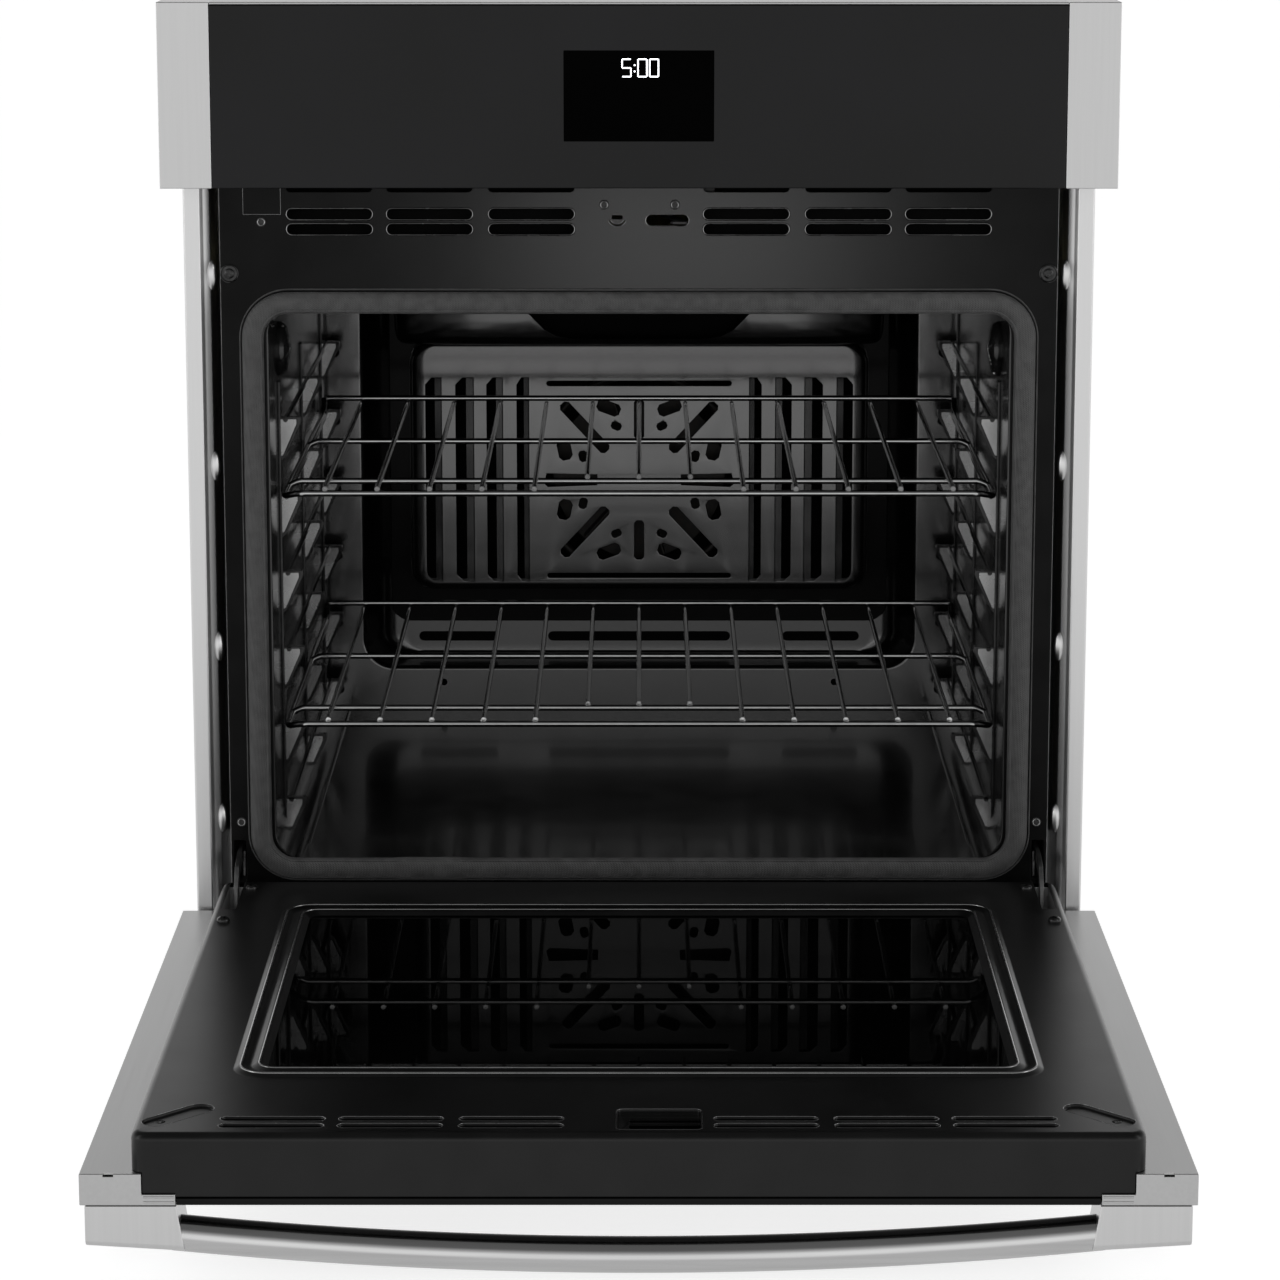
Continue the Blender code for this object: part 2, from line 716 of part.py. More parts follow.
def rack_guides():
    """Ladder guides on the side walls: three posts and a ledge for each rack position."""
    low, high = 0.135, 0.462
    posts = (-0.2250, -0.0250, 0.1700)
    for side_name, side in sides():
        name = "rack_guide_" + side_name
        boxes = [mirrored(side, (0.2672, y, low), (0.2697, y + 0.014, high)) for y in posts]
        ledges = []
        for level in range(-1, 5):
            top = RACK_LOW_Z + level * RACK_LEVEL - 0.0108
            ledges.append(mirrored(side, (0.2520, -0.2270, top - 0.002), (0.2685, 0.1860, top)))
        guide = add_part(name, box_mesh(name, *boxes), "rack_steel")
        join(guide, name + "_ledges", box_mesh(name + "_ledges", *ledges))


def rack(name, z):
    """A wire rack that slides out towards the front."""
    half = 0.2636
    bars = []
    for k in range(-6, 7):
        front = RACK_INNER_FRONT if abs(k) < 2 else RACK_FRONT
        x = k * RACK_WIRE_PITCH
        bars.append(((x - WIRE / 2, front - 0.001, z - WIRE / 2),
                     (x + WIRE / 2, RACK_BACK + 0.001, z + WIRE / 2)))
    for _, side in sides():
        bars.append(mirrored(side, (half - 0.0022, RACK_FRONT - 0.0034, z - 0.0104),
                             (half + 0.0026, RACK_BACK + 0.0034, z - 0.0056)))
    rails = [((-half, y - RAIL / 2, z - 0.0064), (half, y + RAIL / 2, z - 0.0016))
             for y in (RACK_FRONT, RACK_INNER_FRONT, RACK_MIDDLE, RACK_BACK)]
    piece = add_part(name, box_mesh(name, *bars), "rack_steel")
    join(piece, name + "_rails", box_mesh(name + "_rails", *rails))
    hang(pivot(name + "_slide", (0, RACK_FRONT, z)), piece)


# ---------------------------------------------------------------- control panel

def control_panel():
    half = PANEL_HALF - END_CAP_WIDTH - GAP
    back = FRAME_FRONT - 0.0005
    front = PANEL_FRONT + GLASS_THICK + 0.0004
    frame = shell("control_frame", (-half, front, PANEL_BOTTOM + 0.0005), (half, back, HEIGHT), SHEET,
                  ["+Y"], "stainless")
    lip = ((-half, PANEL_FRONT, HEIGHT - 0.0017), (half, front + 0.0006, HEIGHT))
    join(frame, "control_lip", box_mesh("control_lip", lip))
    cut(frame, "display_window", box_mesh("display_window", ((-0.055, front - 0.01, 0.6505),
                                                             (0.055, front + 0.01, 0.7180))))
    box("control_glass", (-half, PANEL_FRONT, PANEL_BOTTOM + 0.0002),
        (half, PANEL_FRONT + GLASS_THICK, HEIGHT - 0.0020), "black_glass")
    box("display_module", (-0.0530, front + 0.0002, 0.6525), (0.0530, front + 0.014, 0.7158), "plastic")
    sheet = box_mesh("control_board", ((-0.150, -0.3150, 0.636), (0.150, -0.3134, 0.730)))
    board = add_part("control_board", sheet, "board")
    parts_on_board = (
        ((-0.130, -0.3138, 0.650), (-0.095, -0.2970, 0.690)),
        ((-0.060, -0.3138, 0.660), (-0.020, -0.3000, 0.685)),
        ((0.030, -0.3138, 0.645), (0.050, -0.3000, 0.715)),
        ((0.080, -0.3138, 0.655), (0.130, -0.3020, 0.700)),
    )
    join(board, "board_components", box_mesh("board_components", *parts_on_board))
    for side_name, side in sides():
        low, high = mirrored(side, (half + GAP, PANEL_FRONT, PANEL_BOTTOM),
                             (PANEL_HALF, TRIM_FRONT + 0.001, HEIGHT))
        shell("end_cap_" + side_name, low, high, SHEET, ["+Y"], "stainless")


# ---------------------------------------------------------------- cooling blower and latch

def blower():
    low, high = TRAY_Z + SHEET + GAP, 0.690
    centre = (0.0, BLOWER_Y)
    outline = circle(*centre, 0.080, 24)
    inner = circle(*centre, 0.080 - SHEET, 24)
    housing = as_mesh(plate("blower_housing", [outline, inner], low, high, "Z", "galvanised"))
    mouth = circle(*centre, 0.045, 24)
    join(housing, "blower_lid", plate_mesh("blower_lid", [outline, mouth], high - SHEET, high, "Z"))

    axis = pivot("blower_axis", (0, BLOWER_Y, 0.655))
    disc = rod_mesh("blower_wheel", ((0, BLOWER_Y, 0.6360), (0, BLOWER_Y, 0.6372), 0.066, 0.066), sides=24)
    wheel = add_part("blower_wheel", disc, "galvanised")
    blades = bmesh.new()
    for k in range(16):
        verts = add_box(blades, (0.052, -0.0005, 0.6368), (0.064, 0.0005, 0.6780))
        turn = Matrix.Translation((0, BLOWER_Y, 0)) @ Matrix.Rotation(2 * math.pi * k / 16 + 0.05, 4, "Z")
        bmesh.ops.transform(blades, matrix=turn, verts=verts)
    join(wheel, "blower_blades", mesh_from(blades, "blower_blades"))
    shaft = rod_mesh("blower_shaft", ((0, BLOWER_Y, 0.6355), (0, BLOWER_Y, 0.6945), 0.004, 0.004), sides=12)
    join(wheel, "blower_shaft", shaft)
    hang(axis, wheel)

    body = rod_mesh("blower_motor", ((0, BLOWER_Y, 0.6952), (0, BLOWER_Y, 0.7280), 0.034, 0.032), sides=24)
    motor = add_part("blower_motor", body, "motor")
    bridge = ((-0.079, BLOWER_Y - 0.010, 0.6940), (0.079, BLOWER_Y + 0.010, 0.6960))
    feet = [((x - 0.004, BLOWER_Y - 0.010, 0.6903), (x + 0.004, BLOWER_Y + 0.010, 0.6945))
            for x in (-0.075, 0.075)]
    join(motor, "motor_bridge", box_mesh("motor_bridge", bridge))
    join(motor, "motor_feet", box_mesh("motor_feet", *feet))
    hole = rod_mesh("bridge_hole", ((0, BLOWER_Y, 0.6930), (0, BLOWER_Y, 0.6951), 0.007, 0.007), sides=12)
    cut(motor, "bridge_hole", hole)


def latch():
    motor = box_mesh("latch_motor", ((-0.020, -0.2860, 0.6000), (0.055, -0.2280, 0.6220)))
    add_part("latch_motor", motor, "motor")
    axis = pivot("latch_axis", (LATCH_X, LATCH_Y, LATCH_Z))
    outline = [(0.0040, 0.0040), (-0.0040, 0.0040), (-0.0027, -0.0400), (-0.0090, -0.0440),
               (-0.0075, -0.0475), (0.0005, -0.0500), (0.0027, -0.0485)]
    turn = math.radians(LATCH_REST_DEG)
    turned = [(LATCH_X + u * math.cos(turn) - v * math.sin(turn),
               LATCH_Y + u * math.sin(turn) + v * math.cos(turn)) for u, v in outline]
    hook = plate("latch_hook", [turned], LATCH_Z - 0.001, LATCH_Z + 0.001, "Z", "bright_steel")
    hook = as_mesh(hook)
    stem = ((LATCH_X, LATCH_Y, LATCH_Z - 0.0005), (LATCH_X, LATCH_Y, 0.5995), 0.003, 0.003)
    post = rod_mesh("latch_post", stem, sides=12)
    apply_local(hook)
    join(hook, "latch_post", post)
    hang(axis, hook)


def apply_local(part):
    """Move an object's place into its mesh, so that its modifiers work in world space."""
    part.data.transform(part.matrix_world)
    part.matrix_world = Matrix.Identity(4)


# ---------------------------------------------------------------- hinges

def hinges(door_axis):
    for side_name, side in sides():
        x = side * HINGE_X
        hinge_receiver("hinge_receiver_" + side_name, x)
        hinge_arm("hinge_arm_" + side_name, x)
        hinge_lock("hinge_lock_" + side_name, x - side * 0.0030)
        hang(door_axis, hinge_channel("hinge_channel_" + side_name, x))
        hinge_spring("hinge_spring_" + side_name, x)


def hinge_receiver(name, x):
    shell(name, (x - 0.0054, FRAME_FRONT + 0.0025, 0.0880), (x + 0.0054, -0.2350, 0.1310), 0.0008,
          ["-Y"], "galvanised")


def hinge_arm(name, x):
    """A claw that hooks into the receiver and carries the door's pin."""
    eye = [(0.0075 * math.cos(math.radians(a)), 0.0075 * math.sin(math.radians(a)))
           for a in range(-180, 1, 30)]
    claw = eye + [(0.0076, 0.0220), (0.0150, 0.0325), (0.0280, 0.0370), (0.0800, 0.0370), (0.0800, 0.0470),
                  (0.0260, 0.0470), (0.0080, 0.0410), (-0.0030, 0.0270)]
    outline = [(HINGE_Y + u, HINGE_Z + v) for u, v in claw]
    plate(name, [outline, circle(HINGE_Y, HINGE_Z, 0.0044, 12)], x - 0.0015, x + 0.0015, "X", "galvanised")


def hinge_lock(name, x):
    """A small lever beside the claw, flipped forward when the door is to be lifted off."""
    y, z = -0.2885, 0.1160
    low, high = x - 0.0008, x + 0.0008
    outline = [(y - 0.0030, z + 0.0030), (y - 0.0030, z - 0.0155), (y + 0.0005, z - 0.0170),
               (y + 0.0025, z - 0.0150), (y + 0.0030, z + 0.0030)]
    lever = plate(name, [outline], low, high, "X", "bright_steel")
    hang(pivot(name + "_axis", (x, y, z)), lever)


def hinge_channel(name, x):
    low, high = door_box((x - 0.0070, -0.0130, -0.0100), (x + 0.0070, 0.2050, 0.0240))
    channel = shell(name, low, high, SHEET, ["+Z"], "galvanised")
    pin = ((x - 0.0066, HINGE_Y, HINGE_Z), (x + 0.0066, HINGE_Y, HINGE_Z), 0.004, 0.004)
    return join(channel, name + "_pin", rod_mesh(name + "_pin", pin, sides=12))


def hinge_spring(name, x):
    z = HINGE_Z + 0.0070
    body = rod_mesh(name, ((x, HINGE_Y - 0.080, z), (x, HINGE_Y - 0.180, z), 0.0045, 0.0045), sides=12)
    spring = add_part(name, body, "galvanised")
    rod = rod_mesh(name + "_rod", ((x, HINGE_Y - 0.062, z), (x, HINGE_Y - 0.082, z), 0.0022, 0.0022), sides=8)
    join(spring, name + "_rod", rod)
    hang(pivot(name + "_slide", (x, HINGE_Y - 0.062, z)), spring)


# ---------------------------------------------------------------- door

def door_skin():
    """Stainless outer frame of the door, hollow, with the glass let into its face."""
    envelope = door_box((-DOOR_HALF, DOOR_BACK, SKIN_LOW), (DOOR_HALF, DOOR_END, SKIN_HIGH))
    skin = add_part("door_skin", box_mesh("door_skin", envelope), "stainless")
    hollow = door_box((-DOOR_HALF + SHEET, DOOR_BACK + SHEET, SKIN_LOW + SHEET),
                      (DOOR_HALF - SHEET, DOOR_END - SHEET, SKIN_HIGH - SHEET))
    cut(skin, "skin_hollow", box_mesh("skin_hollow", hollow))
    behind_glass = door_box((-0.3045, 0.0300, -0.0105), (0.3045, 0.5250, 0.05))
    cut(skin, "skin_inside", box_mesh("skin_inside", behind_glass))
    cut(skin, "skin_end", box_mesh("skin_end", door_box((-0.3012, 0.5200, -0.0105), (0.3012, 0.60, 0.05))))
    mouth = door_box((-0.3045, -0.0150, -0.0150), (0.3045, 0.0350, 0.05))
    cut(skin, "skin_mouth", box_mesh("skin_mouth", mouth))
    glass = door_box((-GLASS_HALF - GAP, 0.0450, -0.05), (GLASS_HALF + GAP, 0.60, 0.05))
    cut(skin, "skin_window", box_mesh("skin_window", glass))
    return skin


def door_outer_glass():
    low, high = door_box((-GLASS_HALF, 0.0453, SKIN_LOW), (GLASS_HALF, DOOR_END - GAP, SKIN_LOW + 0.0045))
    return box("door_outer_glass", low, high, "black_glass")


def door_liner():
    low, high = door_box((-LINER_HALF, LINER_BACK, SKIN_HIGH + GAP), (LINER_HALF, LINER_END, LINER_TOP))
    liner = shell("door_liner", low, high, 0.001, ["-Z"], "black_enamel")
    apron = door_box((-0.3000, LINER_END - 0.0012, -0.0065), (0.3000, LINER_END, 0.0060))
    join(liner, "liner_apron", box_mesh("liner_apron", apron))
    slots = [door_outline(rectangle(side * HINGE_X - 0.0052, side * HINGE_X + 0.0052, -0.0145, 0.0560))
             for _, side in sides()]
    window = [(x, HINGE_Y - v) for x, v in rounded_rect(0.243, 0.0600, 0.4200, 0.012)]
    latch_hole = door_outline(rectangle(0.0060, 0.0390, 0.5105, 0.5225))
    openings = prism_mesh("liner_openings", slots + [window, latch_hole], HINGE_Z + 0.020,
                          HINGE_Z + 0.035, "Z")
    return cut(liner, "liner_openings", openings)


def door_panes():
    low, high = door_box((-0.2520, 0.0500, 0.0215), (0.2520, 0.4300, 0.0257))
    inner = box("door_inner_glass", low, high, "clear_glass")
    low, high = door_box((-0.2620, 0.0450, 0.0045), (0.2620, 0.4350, 0.0085))
    middle = box("door_middle_glass", low, high, "clear_glass")
    outer = [(x, HINGE_Y - v) for x, v in rounded_rect(0.2640, 0.0430, 0.4370, 0.006, 1)]
    hole = [(x, HINGE_Y - v) for x, v in rounded_rect(0.2460, 0.0580, 0.4220, 0.006, 1)]
    holder = plate("glass_holder", [outer, hole], HINGE_Z + 0.0088, HINGE_Z + 0.0212, "Z", "galvanised")
    return inner, middle, holder


def door_insulation():
    outer = door_outline(rectangle(-0.2865, 0.2865, 0.0080, 0.5000))
    hole = door_outline(rectangle(-0.2650, 0.2650, 0.0420, 0.4380))
    return plate("door_insulation", [outer, hole], HINGE_Z - 0.0090, HINGE_Z + 0.0200, "Z", "wool")


def bracket_outline(side, grow=0.0):
    """Outline of a handle bracket in (x, z), whose inner side slants outwards to the door."""
    top, low_outer, low_inner = HINGE_Z + SKIN_LOW - GAP, 0.0300, 0.0262
    points = [(BRACKET_OUTER_X + grow, top + grow), (BRACKET_TOP_X - grow, top + grow),
              (BRACKET_LOW_X - grow, low_inner - grow), (BRACKET_OUTER_X + grow, low_outer - grow)]
    return flip_outline(side, points)


def handle_brackets():
    brackets = []
    for side_name, side in sides():
        name = "handle_bracket_" + side_name
        mesh = prism_mesh(name, [bracket_outline(side)], HINGE_Y - DOOR_END, HINGE_Y - DOOR_END + 0.0343, "Y")
        brackets.append(add_part(name, mesh, "stainless"))
    return brackets


def handle_bar():
    """A bar bowed away from the door, trimmed where it meets the brackets."""
    half, steps = 0.2850, 16
    sag = HANDLE_END_Z - HANDLE_MID_Z
    y = HINGE_Y - HANDLE_V
    path = []
    for k in range(steps + 1):
        x = half * (2 * k / steps - 1)
        path.append((x, y, HANDLE_MID_Z + sag * (x / 0.265) ** 2))
    bar = as_mesh(tube("handle_bar", path, HANDLE_RADIUS, "stainless", resolution=4))
    ends = []
    slope = (BRACKET_TOP_X - BRACKET_LOW_X) / (HINGE_Z + SKIN_LOW - 0.0262)
    for _, side in sides():
        low_x = BRACKET_LOW_X - GAP - 0.0762 * slope
        high_x = low_x + 0.20 * slope
        ends.append(flip_outline(side, [(low_x, -0.05), (0.40, -0.05), (0.40, 0.15), (high_x, 0.15)]))
    cut(bar, "handle_ends", prism_mesh("handle_ends", ends, y - 0.05, y + 0.05, "Y"))
    return smooth(bar)


def door(door_axis):
    hang(door_axis, door_skin(), door_outer_glass(), door_liner(), *door_panes(), door_insulation(),
         *handle_brackets(), handle_bar())


# ---------------------------------------------------------------- assembly

def main():
    clear_scene()
    base_pan()
    side_panels()
    rear_panel()
    top_panel()
    front_frame()
    side_trims()
    bottom_trim()
    component_tray()
    junction_box()
    cavity_liner()
    cavity_back()
    fan_cover()
    convection_fan()
    convection_element()
    convection_motor()
    ceiling_duct()
    insulation()
    bake_element()
    broil_element()
    lamps()
    temperature_probe()
    door_gasket()
    rack_guides()
    rack("lower_rack", RACK_LOW_Z)
    rack("upper_rack", RACK_LOW_Z + 3 * RACK_LEVEL)
    control_panel()
    blower()
    latch()
    door_axis = pivot("door_axis", (0, HINGE_Y, HINGE_Z))
    hinges(door_axis)
    door(door_axis)


main()
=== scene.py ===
"""Looks of the built-in wall oven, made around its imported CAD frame.

Metres, +Z up, X across the oven, +Y into it. Door places are given as (x, v, w): v runs from the hinge
axis to the handle and w from the outer face towards the oven, with the door open.
"""
import math
from functools import partial

import bmesh
import bpy
from mathutils import Matrix, Vector


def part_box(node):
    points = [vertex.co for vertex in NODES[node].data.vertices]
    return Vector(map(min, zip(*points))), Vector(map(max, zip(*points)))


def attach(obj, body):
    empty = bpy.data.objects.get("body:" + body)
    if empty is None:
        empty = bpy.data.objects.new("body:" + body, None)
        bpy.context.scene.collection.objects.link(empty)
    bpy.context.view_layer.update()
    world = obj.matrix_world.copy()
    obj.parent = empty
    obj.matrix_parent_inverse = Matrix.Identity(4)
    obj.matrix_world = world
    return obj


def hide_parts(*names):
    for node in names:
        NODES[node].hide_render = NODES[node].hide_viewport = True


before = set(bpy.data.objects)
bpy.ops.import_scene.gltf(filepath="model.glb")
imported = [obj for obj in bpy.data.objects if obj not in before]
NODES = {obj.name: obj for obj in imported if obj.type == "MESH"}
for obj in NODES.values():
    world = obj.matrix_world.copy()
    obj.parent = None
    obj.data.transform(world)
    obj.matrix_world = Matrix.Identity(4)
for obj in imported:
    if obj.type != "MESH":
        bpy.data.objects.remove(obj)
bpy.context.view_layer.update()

# Planes and edges taken from the frame
GLASS_LOW, GLASS_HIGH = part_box("control_glass")
FRAME_LOW, FRAME_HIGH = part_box("front_frame")
SKIN_LOW, SKIN_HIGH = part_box("door_skin")
LINER_LOW, LINER_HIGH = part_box("door_liner")
BODY_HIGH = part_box("rear_panel")[1]
PANEL_FRONT = GLASS_LOW.y
FRAME_FRONT = FRAME_LOW.y
CAVITY_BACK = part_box("cavity_back")[0].y
LINER_TOP = LINER_HIGH.z

# Hinge axis, and the cavity that the frame's opening leads to
HINGE_X = 0.2965
HINGE_Y = -0.32675
HINGE_Z = 0.074
CAVITY_HALF = 0.270
CAVITY_FLOOR = 0.112
CAVITY_CEILING = 0.530
CAVITY_RADIUS = 0.021
FAN_Z = 0.311
RECESS_DEPTH = 0.040
SHEET = 0.0012

# Racks
RACK_LOW_Z = 0.2120
RACK_LEVEL = 0.05847
RACK_HALF = 0.2636
RACK_PITCH = 0.03876
RACK_FRONT = PANEL_FRONT + 0.086
RACK_INNER_FRONT = PANEL_FRONT + 0.138
RACK_MIDDLE = PANEL_FRONT + 0.318
RACK_BACK = PANEL_FRONT + 0.486

SIDES = (("left", -1), ("right", 1))
SIGNS = (-1, 1)
WELD = 1e-6
MATERIALS = {}


# ---------------------------------------------------------------- mesh tools

def temporary(data):
    """An object that only lasts while its mesh is worked out."""
    holder = bpy.data.objects.new("temporary", data)
    bpy.context.scene.collection.objects.link(holder)
    return holder


def evaluated(holder, welded=True):
    """The object's final mesh in world space. The object itself is removed."""
    bpy.context.view_layer.update()
    graph = bpy.context.evaluated_depsgraph_get()
    mesh = bpy.data.meshes.new_from_object(holder.evaluated_get(graph))
    mesh.transform(holder.matrix_world)
    bpy.data.objects.remove(holder, do_unlink=True)
    if welded:
        bm = bmesh.new()
        bm.from_mesh(mesh)
        bmesh.ops.remove_doubles(bm, verts=bm.verts, dist=WELD)
        bm.to_mesh(mesh)
        bm.free()
    return mesh


def modified(mesh, steps, welded=False):
    """The mesh after modifiers, each given as its type and its settings."""
    holder = temporary(mesh)
    for kind, settings in steps:
        step = holder.modifiers.new(kind, kind)
        for name, value in settings.items():
            setattr(step, name, value)
    return evaluated(holder, welded)


def finished(bm, recalculate=True):
    if recalculate:
        bmesh.ops.recalc_face_normals(bm, faces=bm.faces)
    mesh = bpy.data.meshes.new("piece")
    bm.to_mesh(mesh)
    bm.free()
    return mesh


def joined(*meshes):
    """One mesh holding several."""
    bm = bmesh.new()
    for mesh in meshes:
        bm.from_mesh(mesh)
    return finished(bm, recalculate=False)


def moved(mesh, place):
    copy = mesh.copy()
    copy.transform(place)
    if place.determinant() < 0:
        copy.flip_normals()
    return copy


def at(x, y, z):
    return Matrix.Translation((x, y, z))


def sided(mesh, side):
    """The mesh for the right side, or its mirror image."""
    return mesh if side > 0 else moved(mesh, Matrix.Scale(-1, 4, (1, 0, 0)))


def thickened(mesh, thickness):
    """A wall with the surface in its middle."""
    wall = ("SOLIDIFY", {"thickness": thickness, "offset": 0.0, "use_even_offset": True})
    return modified(mesh, [wall], welded=True)


def softened(mesh, width=0.0006, segments=2, angle=32):
    """Round every edge sharper than the angle."""
    bm = bmesh.new()
    bm.from_mesh(mesh)
    bmesh.ops.remove_doubles(bm, verts=bm.verts, dist=WELD)
    bmesh.ops.dissolve_limit(bm, angle_limit=math.radians(1.0), verts=bm.verts, edges=bm.edges)
    bevel = ("BEVEL", {"width": width, "segments": segments, "limit_method": "ANGLE",
                       "angle_limit": math.radians(angle), "harden_normals": False})
    return modified(finished(bm), [bevel])


def carved(mesh, *cutters):
    """The mesh without the cutters' volume."""
    tools = [temporary(cutter) for cutter in cutters]
    result = modified(mesh, [("BOOLEAN", {"operation": "DIFFERENCE", "solver": "EXACT", "object": tool})
                             for tool in tools])
    for tool in tools:
        bpy.data.objects.remove(tool, do_unlink=True)
    return result


def smooth(mesh, angle):
    """Smooth shading in which the large faces stay flat and the small ones round off between them."""
    mesh.shade_smooth()
    mesh.set_sharp_from_angle(angle=math.radians(angle))
    return modified(mesh, [("WEIGHTED_NORMAL", {"keep_sharp": True, "weight": 90})])


def block(low, high, radius=0.0, segments=2):
    """A box between two corners, with round edges."""
    low, high = Vector(low), Vector(high)
    bm = bmesh.new()
    place = Matrix.Translation((low + high) / 2) @ Matrix.Diagonal((*(high - low), 1.0))
    bmesh.ops.create_cube(bm, size=1.0, matrix=place)
    if radius:
        bmesh.ops.bevel(bm, geom=list(bm.edges), offset=radius, segments=segments, profile=0.5,
                        affect="EDGES", clamp_overlap=True)
    return finished(bm)


def loft(rings, closed=True, cyclic=False, cap_first=False, cap_last=False):
    """A surface through rings of points that all have the same count."""
    bm = bmesh.new()
    loops = [[bm.verts.new(point) for point in ring] for ring in rings]
    pairs = list(zip(loops, loops[1:]))
    if cyclic:
        pairs.append((loops[-1], loops[0]))
    count = len(loops[0])
    for first, second in pairs:
        for k in range(count if closed else count - 1):
            after = (k + 1) % count
            bm.faces.new((first[k], first[after], second[after], second[k]))
    if cap_first:
        bm.faces.new(loops[0][::-1])
    if cap_last:
        bm.faces.new(loops[-1])
    return finished(bm)


POINT = {
    "X": lambda u, v, depth: (depth, u, v),
    "Y": lambda u, v, depth: (u, depth, v),
    "Z": lambda u, v, depth: (u, v, depth),
}
FACING = {
    "X": (math.pi / 2, 0.0, math.pi / 2),
    "Y": (math.pi / 2, 0.0, 0.0),
    "Z": (0.0, 0.0, 0.0),
}


def on_plane(outline, level, facing):
    """A flat outline's points on a plane across an axis."""
    return [POINT[facing](u, v, level) for u, v in outline]


def turned(profile, steps=24, capped=True):
    """A shape turned about Z from (radius, height) points."""
    rings = [on_plane(circle(0.0, 0.0, radius, steps), height, "Z") for radius, height in profile]
    return loft(rings, cap_first=capped, cap_last=capped)


def prism(outline, low, high, facing):
    """A flat outline stretched between two planes."""
    return loft([on_plane(outline, level, facing) for level in (low, high)], cap_first=True, cap_last=True)


def curve_along(paths, cyclic, **settings):
    """A curve object with a spline along each path."""
    curve = bpy.data.curves.new("curve", "CURVE")
    for name, value in settings.items():
        setattr(curve, name, value)
    for points in paths:
        spline = curve.splines.new("POLY")
        spline.points.add(len(points) - 1)
        for target, point in zip(spline.points, points):
            target.co = (*point, 1.0)
        spline.use_cyclic_u = cyclic
    return temporary(curve)


def plate(outlines, low, high, facing, bevel=0.0):
    """A plate with holes between two planes: the first outline is its edge. Its edges can be round."""
    holder = curve_along([on_plane(outline, 0.0, "Z") for outline in outlines], True, dimensions="2D",
                         fill_mode="BOTH", extrude=(high - low) / 2 - bevel, bevel_depth=bevel,
                         bevel_resolution=1, offset=-bevel)
    holder.rotation_euler = FACING[facing]
    holder.location["XYZ".index(facing)] = (low + high) / 2
    return evaluated(holder)


def tubes(paths, radius, cyclic=False, resolution=3):
    """Round bars along paths of points."""
    return evaluated(curve_along(paths, cyclic, dimensions="3D", bevel_depth=radius,
                                 bevel_resolution=resolution, use_fill_caps=not cyclic))


def rims(outlines, level, radius, facing):
    """A thin bead along each closed outline on a plane."""
    paths = [on_plane(outline, level, facing) for outline in outlines]
    return tubes(paths, radius, cyclic=True, resolution=2)


def rounded_path(corners, radius, steps=6):
    """Replace each inner corner of a path by an arc."""
    corners = [Vector(corner) for corner in corners]
    path = [corners[0]]
    for before, corner, after in zip(corners, corners[1:], corners[2:]):
        start = corner + (before - corner).normalized() * radius
        end = corner + (after - corner).normalized() * radius
        for step in range(steps + 1):
            t = step / steps
            path.append(start * (1 - t) ** 2 + corner * 2 * t * (1 - t) + end * t ** 2)
    return path + [corners[-1]]


def both_halves(path):
    """A path on the left and its mirror image, as one path across the middle."""
    return path + [(-point[0], *point[1:]) for point in path[::-1]]


def arc(u, v, radius, start, sweep, steps):
    """Points along an arc whose angles are in degrees."""
    angles = [math.radians(start + sweep * step / steps) for step in range(steps + 1)]
    return [(u + radius * math.cos(angle), v + radius * math.sin(angle)) for angle in angles]


def circle(u, v, radius, steps=24):
    turn = 2 * math.pi / steps
    return [(u + radius * math.cos(turn * k), v + radius * math.sin(turn * k)) for k in range(steps)]


def crescent(u, v, radius, width, steps=10):
    """A slot bent along the lower part of a circle."""
    return arc(u, v, radius, 205, 130, steps) + arc(u, v, radius - width, 335, -130, steps)


def rectangle(u_low, u_high, v_low, v_high):
    return [(u_low, v_low), (u_high, v_low), (u_high, v_high), (u_low, v_high)]


def rounded_rect(half, low, high, radius, steps=8):
    inner, low, high = half - radius, low + radius, high - radius
    corners = ((inner, high), (-inner, high), (-inner, low), (inner, low))
    return [point for k, (u, v) in enumerate(corners) for point in arc(u, v, radius, 90 * k, 90, steps)]


def shifted_rect(centre, half, low, high, radius, steps, grow=0.0):
    """A rounded rectangle about u = centre, grown on every side."""
    outline = rounded_rect(half + grow, low - grow, high + grow, radius + grow, steps)
    return [(centre + u, v) for u, v in outline]


def stadium(u, v, length, height, turn=0.0, grow=0.0, steps=8):
    """A slot with round ends about (u, v), turned by an angle in radians and grown on every side."""
    radius = (height + 2 * grow) / 2
    reach = (length + 2 * grow) / 2 - radius
    flat = arc(reach, 0.0, radius, -90, 180, steps) + arc(-reach, 0.0, radius, 90, 180, steps)
    return [(u + along * math.cos(turn) - across * math.sin(turn),
             v + along * math.sin(turn) + across * math.cos(turn)) for along, across in flat]


DRAWN_PROFILE = ((1.0, 0.0), (0.62, 0.08), (0.32, 0.28), (0.12, 0.62), (0.0, 1.1))


def drawn(outline, level, direction, facing, depth, roll=0.0012, floor=False):
    """The rolled wall of a hole or recess pressed into a sheet. Outline takes how far it is grown."""
    rings = [on_plane(outline(roll * grow), level + direction * roll * fall, facing)
             for grow, fall in DRAWN_PROFILE]
    rings.append(on_plane(outline(0.0), level + direction * depth, facing))
    if floor:
        rings.append(on_plane(outline(-0.0006), level + direction * (depth + 0.0005), facing))
    return loft(rings, cap_last=floor)


def door_block(low, high, radius=0.0):
    """A box between two corners given as door places."""
    return block((low[0], HINGE_Y - high[1], HINGE_Z + low[2]),
                 (high[0], HINGE_Y - low[1], HINGE_Z + high[2]), radius)


def door_outline(points):
    return [(x, HINGE_Y - v) for x, v in points]


